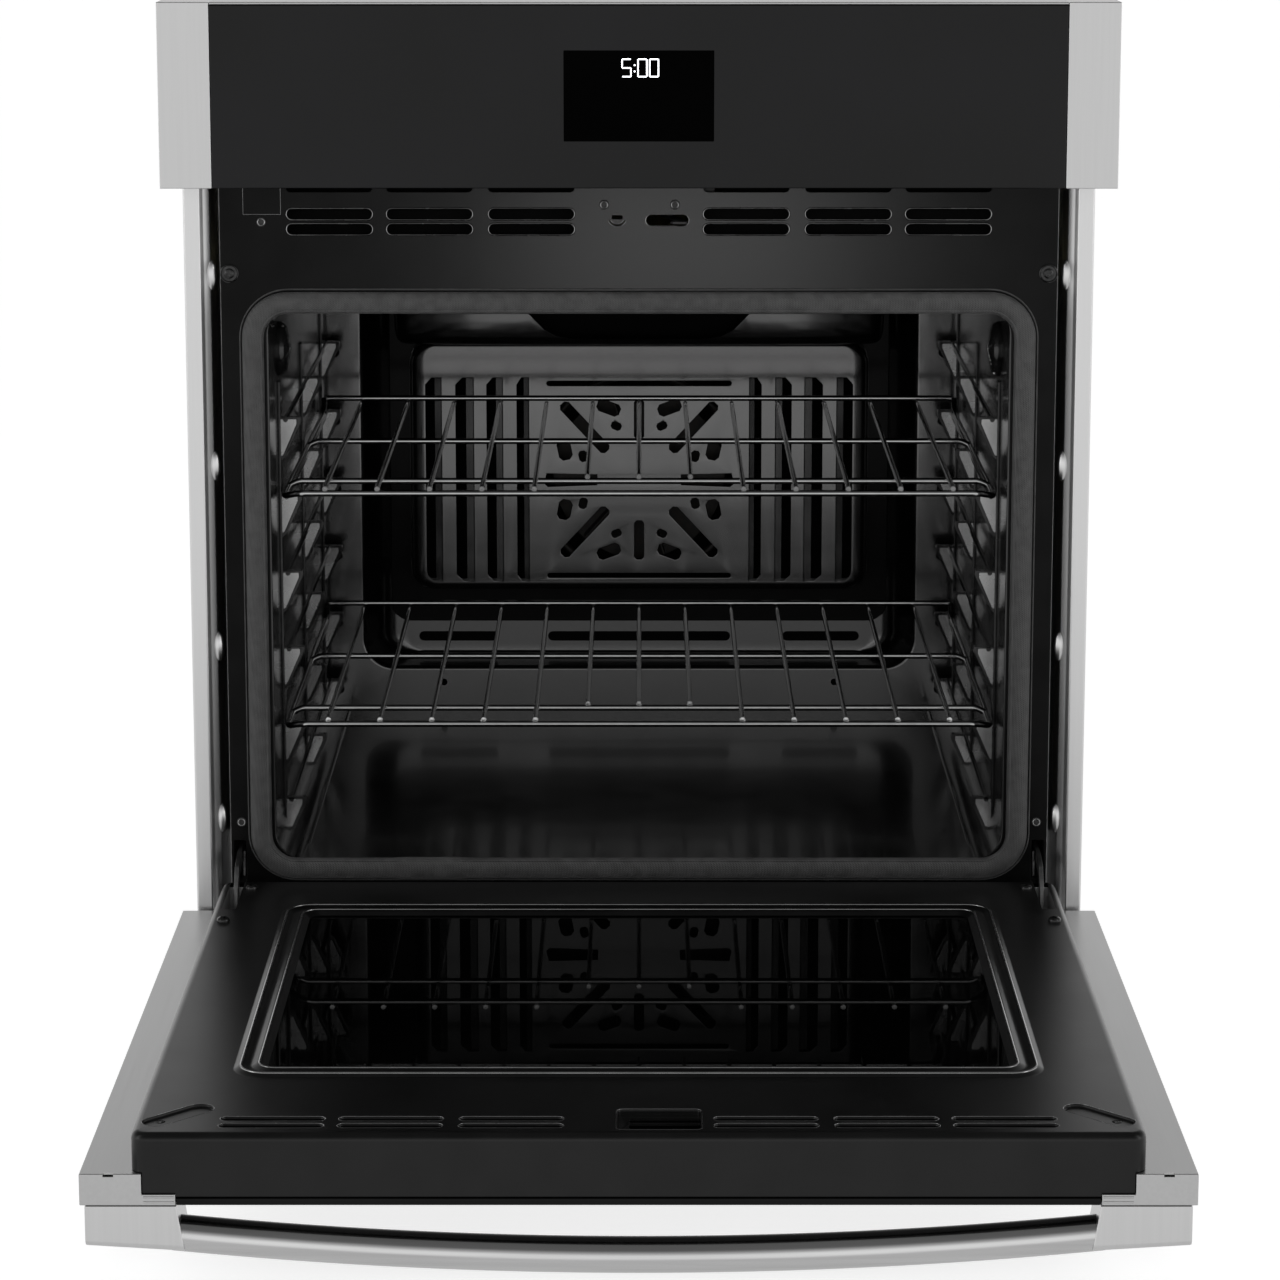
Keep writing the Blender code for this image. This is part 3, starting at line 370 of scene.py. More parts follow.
def add_piece(name, mesh, material_name, slot, *nodes, body="chassis", angle=34):
    """A finished piece that rides on a body and stands for CAD nodes."""
    mesh = smooth(mesh, angle)
    mesh.name = name
    mesh.materials.clear()
    mesh.materials.append(MATERIALS[material_name])
    piece = bpy.data.objects.new(name, mesh)
    bpy.context.scene.collection.objects.link(piece)
    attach(piece, body)
    if nodes:
        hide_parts(*nodes)


def node_mesh(node):
    return NODES[node].data.copy()


def soften_node(node, material_name, slot, width=0.0006, segments=2, body="chassis"):
    """The CAD node's shape with its edges rounded."""
    mesh = softened(node_mesh(node), width, segments)
    add_piece(node + "_formed", mesh, material_name, slot, node, body=body)


# ---------------------------------------------------------------- materials

def colour(value):
    """A grey level or a colour, with its alpha."""
    return (*value, 1.0) if isinstance(value, tuple) else (value, value, value, 1.0)


def set_inputs(node, **values):
    """Set a shader node's inputs by name, with _ for each space."""
    for name, value in values.items():
        node.inputs[name.replace("_", " ")].default_value = value


def new_node(tree, kind, sources=None, modes=None, **values):
    """A shader node with its modes, its linked inputs and its values."""
    node = tree.nodes.new("ShaderNode" + kind)
    for name, value in (modes or {}).items():
        setattr(node, name, value)
    set_inputs(node, **values)
    for name, socket in (sources or {}).items():
        tree.links.new(socket, node.inputs[name])
    return node


def material(name, dark, light, roughness, metallic=0.0, grain=60.0, stretch=(1, 1, 1), bump=0.0,
             bump_grain=900.0, ior=1.5, **shader_inputs):
    """A finish whose colour and roughness drift with noise, with a fine relief.

    Dark and light are the ends of the colour, roughness a pair, and stretch squeezes the noise into a grain.
    """
    made = bpy.data.materials.new(name)
    made.use_nodes = True
    tree = made.node_tree
    shader = tree.nodes["Principled BSDF"]
    set_inputs(shader, Metallic=metallic, IOR=ior, Coat_Roughness=0.08, **shader_inputs)
    place = new_node(tree, "TexCoord").outputs["Object"]
    scaled = new_node(tree, "Mapping", {"Vector": place}, Scale=stretch).outputs["Vector"]
    noise = new_node(tree, "TexNoise", {"Vector": scaled}, Scale=grain, Detail=4.0).outputs["Fac"]
    ramp = new_node(tree, "ValToRGB", {"Fac": noise})
    for end, position, value in zip(ramp.color_ramp.elements, (0.36, 0.64), (dark, light)):
        end.position = position
        end.color = colour(value)
    tree.links.new(ramp.outputs["Color"], shader.inputs["Base Color"])
    rough = new_node(tree, "MapRange", {"Value": noise}, From_Min=0.3, From_Max=0.7,
                     To_Min=roughness[0], To_Max=roughness[1])
    tree.links.new(rough.outputs["Result"], shader.inputs["Roughness"])
    if bump:
        fine = new_node(tree, "TexNoise", {"Vector": scaled}, Scale=bump_grain, Detail=2.0)
        add_relief(tree, fine.outputs["Fac"], bump, 0.0004)
    MATERIALS[name] = made
    return tree


def add_relief(tree, height, strength, distance):
    """A bump that the shader's surface follows."""
    relief = new_node(tree, "Bump", {"Height": height}, Strength=strength, Distance=distance)
    tree.links.new(relief.outputs["Normal"], tree.nodes["Principled BSDF"].inputs["Normal"])


def galvanised():
    """Zinc coating with its crystals."""
    tree = material("galvanised", 0.47, (0.53, 0.53, 0.54), (0.36, 0.42), metallic=0.7, grain=30.0)
    cells = new_node(tree, "TexVoronoi", {"Vector": tree.nodes["Mapping"].outputs["Vector"]}, Scale=70.0)
    base = tree.nodes["Color Ramp"].outputs["Color"]
    shaded = new_node(tree, "Mix", {"A": base, "B": cells.outputs["Color"]},
                      {"data_type": "RGBA", "blend_type": "MULTIPLY"}, Factor=0.14)
    tone = new_node(tree, "RGBToBW", {"Color": shaded.outputs["Result"]})
    tree.links.new(tone.outputs["Val"], tree.nodes["Principled BSDF"].inputs["Base Color"])


def braid():
    """Braided yarn of the door seal."""
    tree = material("gasket", 0.024, 0.040, (0.40, 0.55), grain=140.0, Sheen_Weight=0.10)
    strands = []
    for turn in (0.7, -0.7):
        lean = new_node(tree, "Mapping", {"Vector": tree.nodes["Texture Coordinate"].outputs["Object"]},
                        Rotation=(turn, turn, turn))
        wave = new_node(tree, "TexWave", {"Vector": lean.outputs["Vector"]}, Scale=260.0, Distortion=0.6)
        strands.append(wave.outputs["Fac"])
    both = new_node(tree, "Math", dict(enumerate(strands)), {"operation": "MULTIPLY"})
    add_relief(tree, both.outputs["Value"], 0.5, 0.0005)


def glow(name, dark, light, strength, grain):
    """A finish that also gives light, slightly uneven."""
    tree = material(name, dark, light, (0.5, 0.6), grain=grain, Emission_Strength=strength)
    tree.links.new(tree.nodes["Color Ramp"].outputs["Color"],
                   tree.nodes["Principled BSDF"].inputs["Emission Color"])


def make_materials():
    # Brushed stainless copies: the stretch sets each grain direction. The differing levels are painted light:
    # lighter and darker copies set to how bright each part looks. The 0.71 copy is the lightest, for the side
    # trims and handle feet.
    for name, level, stretch in (("stainless_x", 0.50, (0.02, 1, 1)), ("stainless_y", 0.57, (1, 0.02, 1)),
                                 ("stainless_z", 0.60, (1, 1, 0.02)), ("stainless_lit_copy", 0.71, (1, 1, 0.02))):
        material(name, level - 0.01, level + 0.01, (0.30, 0.34), 1.0, 420.0, stretch, 0.02, 1600.0)
    material("polished", 0.60, 0.66, (0.14, 0.18), 1.0, 200.0, (0.03, 1, 1), 0.02)
    material("black_enamel", 0.0022, 0.0036, (0.185, 0.192), grain=35.0, bump=0.012, ior=1.15)
    material("liner_enamel", 0.0024, 0.0038, (0.28, 0.31), grain=35.0, bump=0.012, ior=1.38)
    for name, ior, coat in (("cavity_enamel", 2.02, 0.5), ("wall_enamel", 1.5, 0.3)):
        material(name, 0.0020, 0.0034, (0.16, 0.22), grain=30.0, bump=0.03, bump_grain=500.0, ior=ior,
                 Coat_Weight=coat)
    # Painted highlight: bright metal for thin lines and plates that stand in for glints and lit faces.
    material("highlight_enamel", 0.30, 0.38, (0.22, 0.30), 1.0)
    # Painted highlight: the dimmer glint finish for the upper rack's wire-end caps.
    material("glint_enamel", 0.16, 0.22, (0.24, 0.32), 0.8, 90.0)
    material("panel_glass", 0.0022, (0.0034, 0.0034, 0.0040), (0.03, 0.06), grain=6.0, ior=1.30)
    material("display_glass", 0.0003, 0.0006, (0.10, 0.14), grain=6.0, ior=1.05)
    material("door_glass", 0.002, 0.004, (0.03, 0.06), grain=6.0, ior=1.25)
    material("window_glass", 0.010, 0.018, (0.0, 0.02), grain=12.0, ior=1.12, Transmission_Weight=0.95)
    material("rack_enamel", 0.42, 0.48, (0.11, 0.16), 1.0, 120.0)
    material("guide_enamel", 0.018, 0.030, (0.10, 0.16), 0.60, 90.0)
    material("element", 0.012, (0.026, 0.023, 0.020), (0.42, 0.60), 0.6, 160.0, bump=0.2, bump_grain=1500.0)
    material("wool", (0.60, 0.52, 0.26), (0.80, 0.74, 0.46), (0.85, 1.0), grain=500.0, bump=0.8,
             bump_grain=700.0)
    material("plastic", 0.010, 0.016, (0.42, 0.55), grain=90.0, bump=0.12, bump_grain=2400.0)
    material("shade", 0.0012, 0.0024, (0.60, 0.75), ior=1.15)
    material("board", (0.016, 0.10, 0.030), (0.030, 0.19, 0.060), (0.32, 0.5), grain=220.0, bump=0.2,
             bump_grain=600.0)
    material("lamp_glass", 0.006, 0.012, (0.08, 0.16), bump=0.1)
    material("motor", 0.10, 0.17, (0.40, 0.55), 0.8, bump=0.15)
    material("bright_steel", 0.58, 0.68, (0.20, 0.28), 1.0, 180.0, bump=0.04)
    material("dark_steel", 0.030, 0.050, (0.30, 0.42), 0.9, 140.0, bump=0.05)
    material("hinge_steel", 0.10, 0.16, (0.28, 0.38), 0.9, 140.0, bump=0.05)
    material("dark_screw", 0.030, 0.050, (0.18, 0.26), 0.85, 400.0)
    galvanised()
    braid()
    glow("digits", (0.88, 0.91, 0.96), (0.94, 0.97, 1.0), 2.2, 300.0)
    glow("floor", 0.415, 0.425, 1.95, 2.0)


# ---------------------------------------------------------------- fasteners

def screw_head(radius, height):
    """A pan head with a cross recess, standing on the XY plane."""
    profile = ((1.0, 0.0), (1.0, 0.35), (0.93, 0.66), (0.72, 0.90), (0.40, 1.0), (0.05, 1.02))
    head = turned([(radius * out, height * up) for out, up in profile], 20)
    arm, width, deep = radius * 0.62, radius * 0.20, height * 0.35
    return carved(head, block((-arm, -width, deep), (arm, width, height * 2)),
                  block((-width, -arm, deep), (width, arm, height * 2)))


def washer(radius, inner, height):
    """A dished washer with a raised rim."""
    return turned(((inner, height * 0.4), (radius * 0.80, height * 0.3), (radius * 0.88, height),
                   (radius * 0.97, height * 0.8), (radius, 0.0)), 28, capped=False)


OUTWARD = {"-Y": (90, "X"), "+Y": (-90, "X"), "+Z": (0, "X"), "+X": (90, "Y"), "-X": (-90, "Y")}


def screws(head, places, facing):
    """Copies of a head at places, each turned a little further than the last."""
    angle, axis = OUTWARD[facing]
    lay = Matrix.Rotation(math.radians(angle), 4, axis)
    return joined(*[moved(head, at(*place) @ lay @ Matrix.Rotation(0.7 * k, 4, "Z"))
                    for k, place in enumerate(places)])


# ---------------------------------------------------------------- control panel

WINDOW_HALF = 0.0532
WINDOW_LOW = 0.6520
WINDOW_HIGH = 0.7162
DIGIT_HEIGHT = 0.0122
DIGIT_WIDTH = 0.0062
DIGIT_PITCH = 0.0082
DIGIT_BAR = 0.0009
COLON_GAP = 0.0030
CLOCK_LEFT = -0.0118
CLOCK_BASE = 0.6978
DIGIT_SEGMENTS = {"5": "acdfg", "0": "abcdef"}


def control_panel():
    glass = block(GLASS_LOW, GLASS_HIGH, 0.0007, 3)
    add_piece("panel_glass", glass, "panel_glass", "black_glass", "control_glass")
    window = plate([rounded_rect(WINDOW_HALF, WINDOW_LOW, WINDOW_HIGH, 0.0006, 3)],
                   PANEL_FRONT - 0.0003, PANEL_FRONT + 0.0004, "Y", 0.0001)
    add_piece("display_window", window, "display_glass", "black_glass")
    clock_digits()
    soften_node("control_frame", "stainless_x", "stainless", 0.0005)
    soften_node("display_module", "plastic", "plastic", 0.0010)
    soften_node("control_board", "board", "board", 0.0004)
    for side_name, _ in SIDES:
        soften_node("end_cap_" + side_name, "stainless_z", "stainless", 0.0011, 3)


def clock_digits():
    """A plain lit clock reading, made of bars."""
    width, height, half = DIGIT_WIDTH, DIGIT_HEIGHT, DIGIT_HEIGHT / 2
    lines = {
        "a": ((0, height), (width, height)), "g": ((0, half), (width, half)), "d": ((0, 0), (width, 0)),
        "f": ((0, half), (0, height)), "b": ((width, half), (width, height)),
        "e": ((0, 0), (0, half)), "c": ((width, 0), (width, half)),
    }
    front = PANEL_FRONT - 0.00045

    def bar(x_low, x_high, z_low, z_high):
        return block((x_low, front, z_low), (x_high, front + 0.0003, z_high), 0.0001, 1)
    bars = []
    offsets = (0.0, DIGIT_PITCH + COLON_GAP, 2 * DIGIT_PITCH + COLON_GAP)
    for offset, digit in zip(offsets, "500"):
        left = CLOCK_LEFT + offset
        for segment in DIGIT_SEGMENTS[digit]:
            (x1, z1), (x2, z2) = lines[segment]
            reach_x = DIGIT_BAR * (0.5 - 0.6 * (x2 > x1))
            reach_z = DIGIT_BAR * (0.5 - 0.6 * (z2 > z1))
            bars.append(bar(left + x1 - reach_x, left + x2 + reach_x,
                            CLOCK_BASE + z1 - reach_z, CLOCK_BASE + z2 + reach_z))
    dot = DIGIT_BAR * 0.6
    x = CLOCK_LEFT + DIGIT_PITCH + 0.0006
    for z in (CLOCK_BASE + height * 0.30, CLOCK_BASE + height * 0.66):
        bars.append(bar(x - dot, x + dot, z - dot, z + dot))
    add_piece("clock_digits", joined(*bars), "digits", "lamp")


# ---------------------------------------------------------------- body front

VENT_LENGTH = 0.0618
VENT_HEIGHT = 0.0077
VENT_CENTRES = (0.0776, 0.1512, 0.2235)
VENT_ROWS = (0.584, 0.595)
VENT_ROLL = 0.0006
TOP_VENT_Z = 0.6140
TOP_VENT_HEIGHT = 0.0060
LATCH_X = 0.0205
LATCH_Z = 0.5905
NOTCH_X = -0.0157
NOTCH_Z = 0.5930
SMALL_SCREWS = ((-0.2728, 0.5893), (-0.0251, 0.6018), (0.0260, 0.6018), (-0.2950, 0.1420), (0.2950, 0.1420))
BIG_SCREW_Z = 0.5519


def front_frame():
    """Enamelled frame with drawn vents, a latch slot, a notch beside it, hinge slots and its screws."""
    vents = [partial(stadium, side * centre, row, VENT_LENGTH, VENT_HEIGHT, 0.0)
             for side in SIGNS for centre in VENT_CENTRES for row in VENT_ROWS]
    holes = [rounded_rect(0.2705, 0.1130, 0.5285, 0.022), rectangle(-0.200, 0.200, 0.650, 0.715),
             stadium(LATCH_X, LATCH_Z, 0.031, 0.008), rectangle(-0.0193, -0.0121, 0.5915, 0.5938),
             crescent(NOTCH_X, NOTCH_Z, 0.0068, 0.0013)]
    for side in SIGNS:
        holes.append(shifted_rect(side * HINGE_X, 0.0045, 0.0940, 0.1280, 0.001, 2))
        holes += [stadium(side * centre, TOP_VENT_Z, VENT_LENGTH, TOP_VENT_HEIGHT) for centre in VENT_CENTRES]
    holes += [vent(VENT_ROLL) for vent in vents]
    edge = rectangle(-0.3030, 0.3030, 0.0500, 0.7325)
    sheet = plate([edge] + holes, FRAME_FRONT, FRAME_HIGH.y, "Y", 0.0004)
    walls = [drawn(vent, FRAME_FRONT, 1, "Y", 0.0045, VENT_ROLL) for vent in vents]
    add_piece("frame_sheet", joined(softened(sheet, 0.0001, 1), *walls), "black_enamel", "black_enamel",
              "front_frame", angle=20)

    # Painted highlights: thin bright lines round the vents, the latch slot, the notch and the small screws,
    # and along a seam, stand in for light caught on their edges.
    edges = rims([vent(VENT_ROLL / 2) for vent in vents]
                 + [stadium(LATCH_X, LATCH_Z, 0.0314, 0.0084), crescent(NOTCH_X, NOTCH_Z, 0.0070, 0.0017)],
                 FRAME_FRONT, 0.0003, "Y")
    rings = rims([circle(x, z, 0.0025, 20) for x, z in SMALL_SCREWS], FRAME_FRONT - 0.0010, 0.0004, "Y")
    hatch = [(-0.2858, 0.6400), (-0.2858, 0.5948), (-0.2587, 0.5948), (-0.2587, 0.6400)]
    seam_highlight = tubes([on_plane(hatch, FRAME_FRONT, "Y")], 0.00018, resolution=1)
    add_piece("frame_highlight_lines", joined(edges, rings, seam_highlight), "highlight_enamel", "black_enamel")

    # Painted shade: flat black plates behind the vents, so the vents read as dark shade.
    near, far = FRAME_HIGH.y + 0.0165, FRAME_HIGH.y + 0.0177
    shades = [block((low_x, near, 0.5660), (high_x, far, high_z), 0.0003)
              for low_x, high_x, high_z in ((-0.2640, -0.0320, 0.6190), (0.0440, 0.0600, 0.5985),
                                            (0.0600, 0.2640, 0.6190))]
    add_piece("vent_shade_plates", joined(*shades), "shade", "black_enamel")

    heads = screws(screw_head(0.0036, 0.0012), [(x, FRAME_FRONT, z) for x, z in SMALL_SCREWS], "-Y")
    add_piece("frame_small_screws", heads, "plastic", "black_enamel")
    big = [(side * HINGE_X, FRAME_FRONT, BIG_SCREW_Z) for side in SIGNS]
    big_head = moved(screw_head(0.0038, 0.0020), at(0, 0, 0.0007))
    washers = screws(washer(0.0070, 0.0034, 0.0016), big, "-Y")
    add_piece("frame_screws", joined(screws(big_head, big, "-Y"), washers), "dark_screw", "black_enamel")


TRIM_DIMPLES = (0.5498, 0.4095, 0.2743, 0.1436)
DIMPLE_PROFILE = ((1.0, -0.0012), (0.99, 0.0004), (0.9, 0.0016), (0.7, 0.0028), (0.42, 0.0036),
                  (0.02, 0.0039))


def side_trims():
    """Folded strips with a curved return towards the frame and pressed bumps on it."""
    low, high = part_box("side_trim_right")
    face_y = low.y + 0.0005
    path = [(high.x - 0.0003, face_y + 0.0016), (high.x - 0.0008, face_y), (0.3176, face_y),
            (0.3152, -0.2928), (0.3108, -0.2885), (0.3082, -0.2800), (0.3055, -0.2755)]
    path = rounded_path(path, 0.0007, 4)
    rings = [on_plane(path, z, "Z") for z in (low.z, low.z + 0.0006, high.z - 0.0006, high.z)]
    strip = thickened(loft(rings, closed=False), 0.0009)
    lay = Matrix.Rotation(math.radians(24), 4, "Z") @ Matrix.Rotation(math.pi / 2, 4, "X")
    lay = lay @ Matrix.Diagonal((0.0044, 0.0112, 1.0, 1.0))
    bumps = [moved(turned(DIMPLE_PROFILE, 28), at(0.3102, -0.2872, z) @ lay) for z in TRIM_DIMPLES]
    trim = joined(strip, *bumps)
    for side_name, side in SIDES:
        # The trims take the lightest stainless copy, a painted lighter tone.
        add_piece("trim_strip_" + side_name, sided(trim, side), "stainless_lit_copy", "stainless",
                  "side_trim_" + side_name)
    soften_node("bottom_trim", "stainless_x", "stainless", 0.0012, 3)


SEAL_HALF = 0.2800
SEAL_LOW = 0.1076
SEAL_HIGH = 0.5309
SEAL_RADIUS = 0.026
SEAL_WIDTH = 0.0079
SEAL_DEPTH = 0.0032
SPLICE_LEFT = -0.179
SPLICE_RIGHT = -0.130


def door_seal():
    """Flattened tube gasket with a splice at the bottom, a lip round it and a bead along its inner side."""
    path = rounded_rect(SEAL_HALF, SEAL_LOW, SEAL_HIGH, SEAL_RADIUS, 14)
    points = []
    for (u1, v1), (u2, v2) in zip(path, path[1:] + path[:1]):
        span = max(1, round(math.hypot(u2 - u1, v2 - v1) / 0.008))
        points += [(u1 + (u2 - u1) * k / span, v1 + (v2 - v1) * k / span) for k in range(span)]
    rings = []
    for k, (u, v) in enumerate(points):
        before, after = points[k - 1], points[(k + 1) % len(points)]
        along = Vector((after[0] - before[0], after[1] - before[1])).normalized()
        splice = v < SEAL_LOW + 0.001 and SPLICE_LEFT < u < SPLICE_RIGHT
        half_width = SEAL_WIDTH + (0.0005 if splice else 0.0)
        half_depth = SEAL_DEPTH + (0.0002 if splice else 0.0)
        section = [(half_width * x, half_depth * y) for x, y in circle(0.0, 0.0, 1.0, 16)]
        rings.append([(u + along.y * shift, FRAME_FRONT - 0.0033 + rise, v - along.x * shift)
                      for shift, rise in section])
    lip_path = on_plane(rounded_rect(0.2895, 0.0981, 0.5404, 0.0355, 14), FRAME_FRONT - 0.0008, "Y")
    bead_path = on_plane(rounded_rect(0.2742, 0.1134, 0.5251, 0.0205, 14), FRAME_FRONT - 0.0045, "Y")
    lip, bead = tubes([lip_path], 0.0006, cyclic=True), tubes([bead_path], 0.0014, cyclic=True)
    add_piece("seal_tube", joined(loft(rings, cyclic=True), lip, bead), "gasket", "gasket", "door_gasket",
              angle=60)


# ---------------------------------------------------------------- cavity

def cavity_outline(grow, steps):
    """The cavity's section, grown on every side."""
    return rounded_rect(CAVITY_HALF + grow, CAVITY_FLOOR - grow, CAVITY_CEILING + grow, CAVITY_RADIUS, steps)


def cavity_liner():
    """Enamelled box with a rolled front edge and pressed floor beads."""
    front, back = (corner.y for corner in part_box("cavity_liner"))
    sections = ((front + 0.0002, 0.0010), (front + 0.0008, 0.0002), (front + 0.002, 0.0), (back, 0.0))
    walls = thickened(loft([on_plane(cavity_outline(grow, 12), y, "Y") for y, grow in sections]), SHEET)
    beads = [tubes([[(side * 0.2490, y, CAVITY_FLOOR + 0.0004) for y in (-0.250, 0.180)]], 0.0016,
                   resolution=4) for side in SIGNS]
    add_piece("cavity_walls", joined(walls, *beads), "wall_enamel", "cavity_enamel", "cavity_liner")


# The recess's wall from its mouth to its floor: half width, lower and upper edge, corner radius, depth
RECESS_RINGS = (
    (0.2392, 0.1435, 0.5015, 0.0270, 0.0000), (0.2378, 0.1449, 0.5001, 0.0262, 0.0004),
    (0.2366, 0.1461, 0.4989, 0.0254, 0.0018), (0.2356, 0.1468, 0.4979, 0.0248, 0.0045),
    (0.2300, 0.1482, 0.4930, 0.0230, 0.0170), (0.2262, 0.1491, 0.4895, 0.0222, 0.0250),
    (0.2215, 0.1499, 0.4860, 0.0210, 0.0315), (0.2155, 0.1506, 0.4828, 0.0190, 0.0362),
    (0.2085, 0.1512, 0.4804, 0.0165, 0.0390), (0.2010, 0.1522, 0.4790, 0.0140, 0.0400),
)
RECESS_FLOOR = CAVITY_BACK + RECESS_DEPTH
SLOT_Z = 0.1650


def cavity_back():
    """Pressed back wall with a deep recess for the fan and air slots under it."""
    rings = [on_plane(cavity_outline(-0.0003, 10), CAVITY_BACK, "Y")]
    rings += [on_plane(rounded_rect(half, low, high, radius, 10), CAVITY_BACK + depth, "Y")
              for half, low, high, radius, depth in RECESS_RINGS]
    wall = thickened(loft(rings, cap_last=True), 0.0006)
    holes = [(stadium(x, SLOT_Z, length, 0.0085), RECESS_FLOOR)
             for x, length in ((0.0, 0.159), (0.1585, 0.067), (-0.1575, 0.069))]
    holes.append((circle(0, FAN_Z, 0.009), RECESS_FLOOR))
    holes += [(circle(side * 0.1687, 0.1330, 0.0030, 16), CAVITY_BACK) for side in SIGNS]
    cutters = [prism(outline, y - 0.01, y + 0.01, "Y") for outline, y in holes]
    add_piece("back_wall", carved(wall, *cutters), "cavity_enamel", "cavity_enamel", "cavity_back")
    # Painted shade: a flat black plate behind the air slots so they read as dark.
    behind = block((-0.1960, RECESS_FLOOR + 0.0040, SLOT_Z - 0.0090),
                   (0.1960, RECESS_FLOOR + 0.0048, SLOT_Z + 0.0090), 0.0003)
    add_piece("slot_shade_plate", behind, "shade", "cavity_enamel")


def bar_hole(start, end, width, clip=0.28):
    """A straight slot with clipped corners between two points."""
    start, end = Vector(start), Vector(end)
    along = (end - start).normalized()
    across = Vector((-along.y, along.x)) * width / 2
    cut = along * width * clip
    return [tuple(point) for point in (start + across + cut, start + across * 0.5, start - across * 0.5,
                                       start - across + cut, end - across - cut, end - across * 0.5,
                                       end + across * 0.5, end + across - cut)]


# Centre and width of each louvre on the right
LOUVRES = ((0.1756, 0.0137), (0.1490, 0.0154), (0.1233, 0.0137), (0.0993, 0.0103))
LOUVRE_HALF = 0.0885
LOUVRE_SLANT = 0.006
# One quarter of the fan's pattern: outer end, inner end and width of each slot, from the fan's axis
FAN_SLOTS = (
    ((0.0655, 0.0660), (0.0275, 0.0250), 0.0095), ((0.0355, 0.0660), (0.0165, 0.0590), 0.0105),
    ((0.0655, 0.0345), (0.0620, 0.0175), 0.0115), ((0.0235, 0.0485), (0.0155, 0.0450), 0.0065),
    ((0.0490, 0.0250), (0.0470, 0.0160), 0.0070),
)
# The wide slot on the right, from the fan's axis
FAN_ARM = ((0.0360, 0.0045), (0.0360, -0.0045), (0.0780, -0.0060), (0.0810, -0.0035), (0.0790, 0.0055))


def fan_cover_holes():
    """Louvre slots at both sides and a mirrored pattern between them."""
    holes = []
    for side in SIGNS:
        for centre, width in LOUVRES:
            inner, outer = side * (centre - width / 2), side * (centre + width / 2)
            middle = side * (centre + width * 0.1)
            holes.append([(outer, FAN_Z - LOUVRE_HALF + LOUVRE_SLANT), (middle, FAN_Z - LOUVRE_HALF),
                          (inner, FAN_Z - LOUVRE_HALF), (inner, FAN_Z + LOUVRE_HALF),
                          (middle, FAN_Z + LOUVRE_HALF), (outer, FAN_Z + LOUVRE_HALF - LOUVRE_SLANT)])
        holes.append([(side * u, FAN_Z + v) for u, v in FAN_ARM])
    for up in (1, -1):
        holes.append(stadium(0, FAN_Z + up * 0.0835, 0.158, 0.0042, steps=4))
        holes.append(bar_hole((0, FAN_Z + up * 0.0355), (0, FAN_Z + up * 0.0695), 0.0084))
        holes += [bar_hole((side * u1, FAN_Z + up * v1), (side * u2, FAN_Z + up * v2), width)
                  for side in SIGNS for (u1, v1), (u2, v2), width in FAN_SLOTS]
    return holes


COVER_HALF = 0.1960
COVER_LOW = 0.2145
COVER_HIGH = 0.4285
COVER_RADIUS = 0.018
COVER_ROLL = 0.010
COVER_LIFT = 0.00005
FAN_RING_RADIUS = 0.088
FAN_RING_Y = 0.2230


def cover_outline(share):
    """The cover's edge moved inwards by a share of its roll, which is narrow under the duct."""
    return rounded_rect(COVER_HALF - 0.0125 * share, COVER_LOW + 0.0070 * share, COVER_HIGH - 0.0020 * share,
                        COVER_RADIUS - 0.0070 * share, 6)


def fan_cover():
    """Perforated cover with a large round rim, a wall behind it and a turned lip at each louvre."""
    front = CAVITY_BACK - 0.003
    face = plate([cover_outline(1.0)] + fan_cover_holes(), front, front + SHEET, "Y", 0.0005)
    rings = [on_plane(cover_outline(1.08), front - COVER_LIFT, "Y")]
    for step in range(10):
        angle = math.radians(10 * step)
        rings.append(on_plane(cover_outline(1 - math.sin(angle)),
                              front - COVER_LIFT + COVER_ROLL * (1 - math.cos(angle)), "Y"))
    rings.append(on_plane(cover_outline(0.0), RECESS_FLOOR - 0.0008, "Y"))
    rim = thickened(loft(rings), 0.0008)
    lips = []
    for centre, width in LOUVRES:
        edge = centre - width / 2
        deep = edge + width * 0.42
        section = [(edge - 0.0008, front + 0.0006), (edge + 0.0006, front + 0.0034), (deep, front + 0.0042),
                   (deep, front + 0.0050), (edge - 0.0002, front + 0.0042), (edge - 0.0008, front + 0.0016)]
        lip = prism(section, FAN_Z - LOUVRE_HALF + 0.001, FAN_Z + LOUVRE_HALF - 0.001, "Z")
        lips += [sided(lip, side) for side in SIGNS]
    add_piece("fan_cover_formed", joined(face, rim, *lips), "cavity_enamel", "cavity_enamel", "fan_cover")
    # Painted shade: a black ring on the recess floor darkens the strips beside and below the cover.
    shade_ring = plate([rounded_rect(0.2148, 0.1795, 0.4820, 0.0160), cover_outline(-0.06)],
                   RECESS_FLOOR - 0.0046, RECESS_FLOOR - 0.0038, "Y", 0.0002)
    add_piece("fan_cover_shade_ring", shade_ring, "black_enamel", "cavity_enamel")
    # Painted shade: a flat black plate behind the cover keeps its holes dark.
    shade_lining = plate([cover_outline(0.3), circle(0, FAN_Z, 0.0095)], RECESS_FLOOR - 0.0014,
                   RECESS_FLOOR - 0.0006, "Y")
    add_piece("fan_cover_shade_lining", shade_lining, "shade", "cavity_enamel")


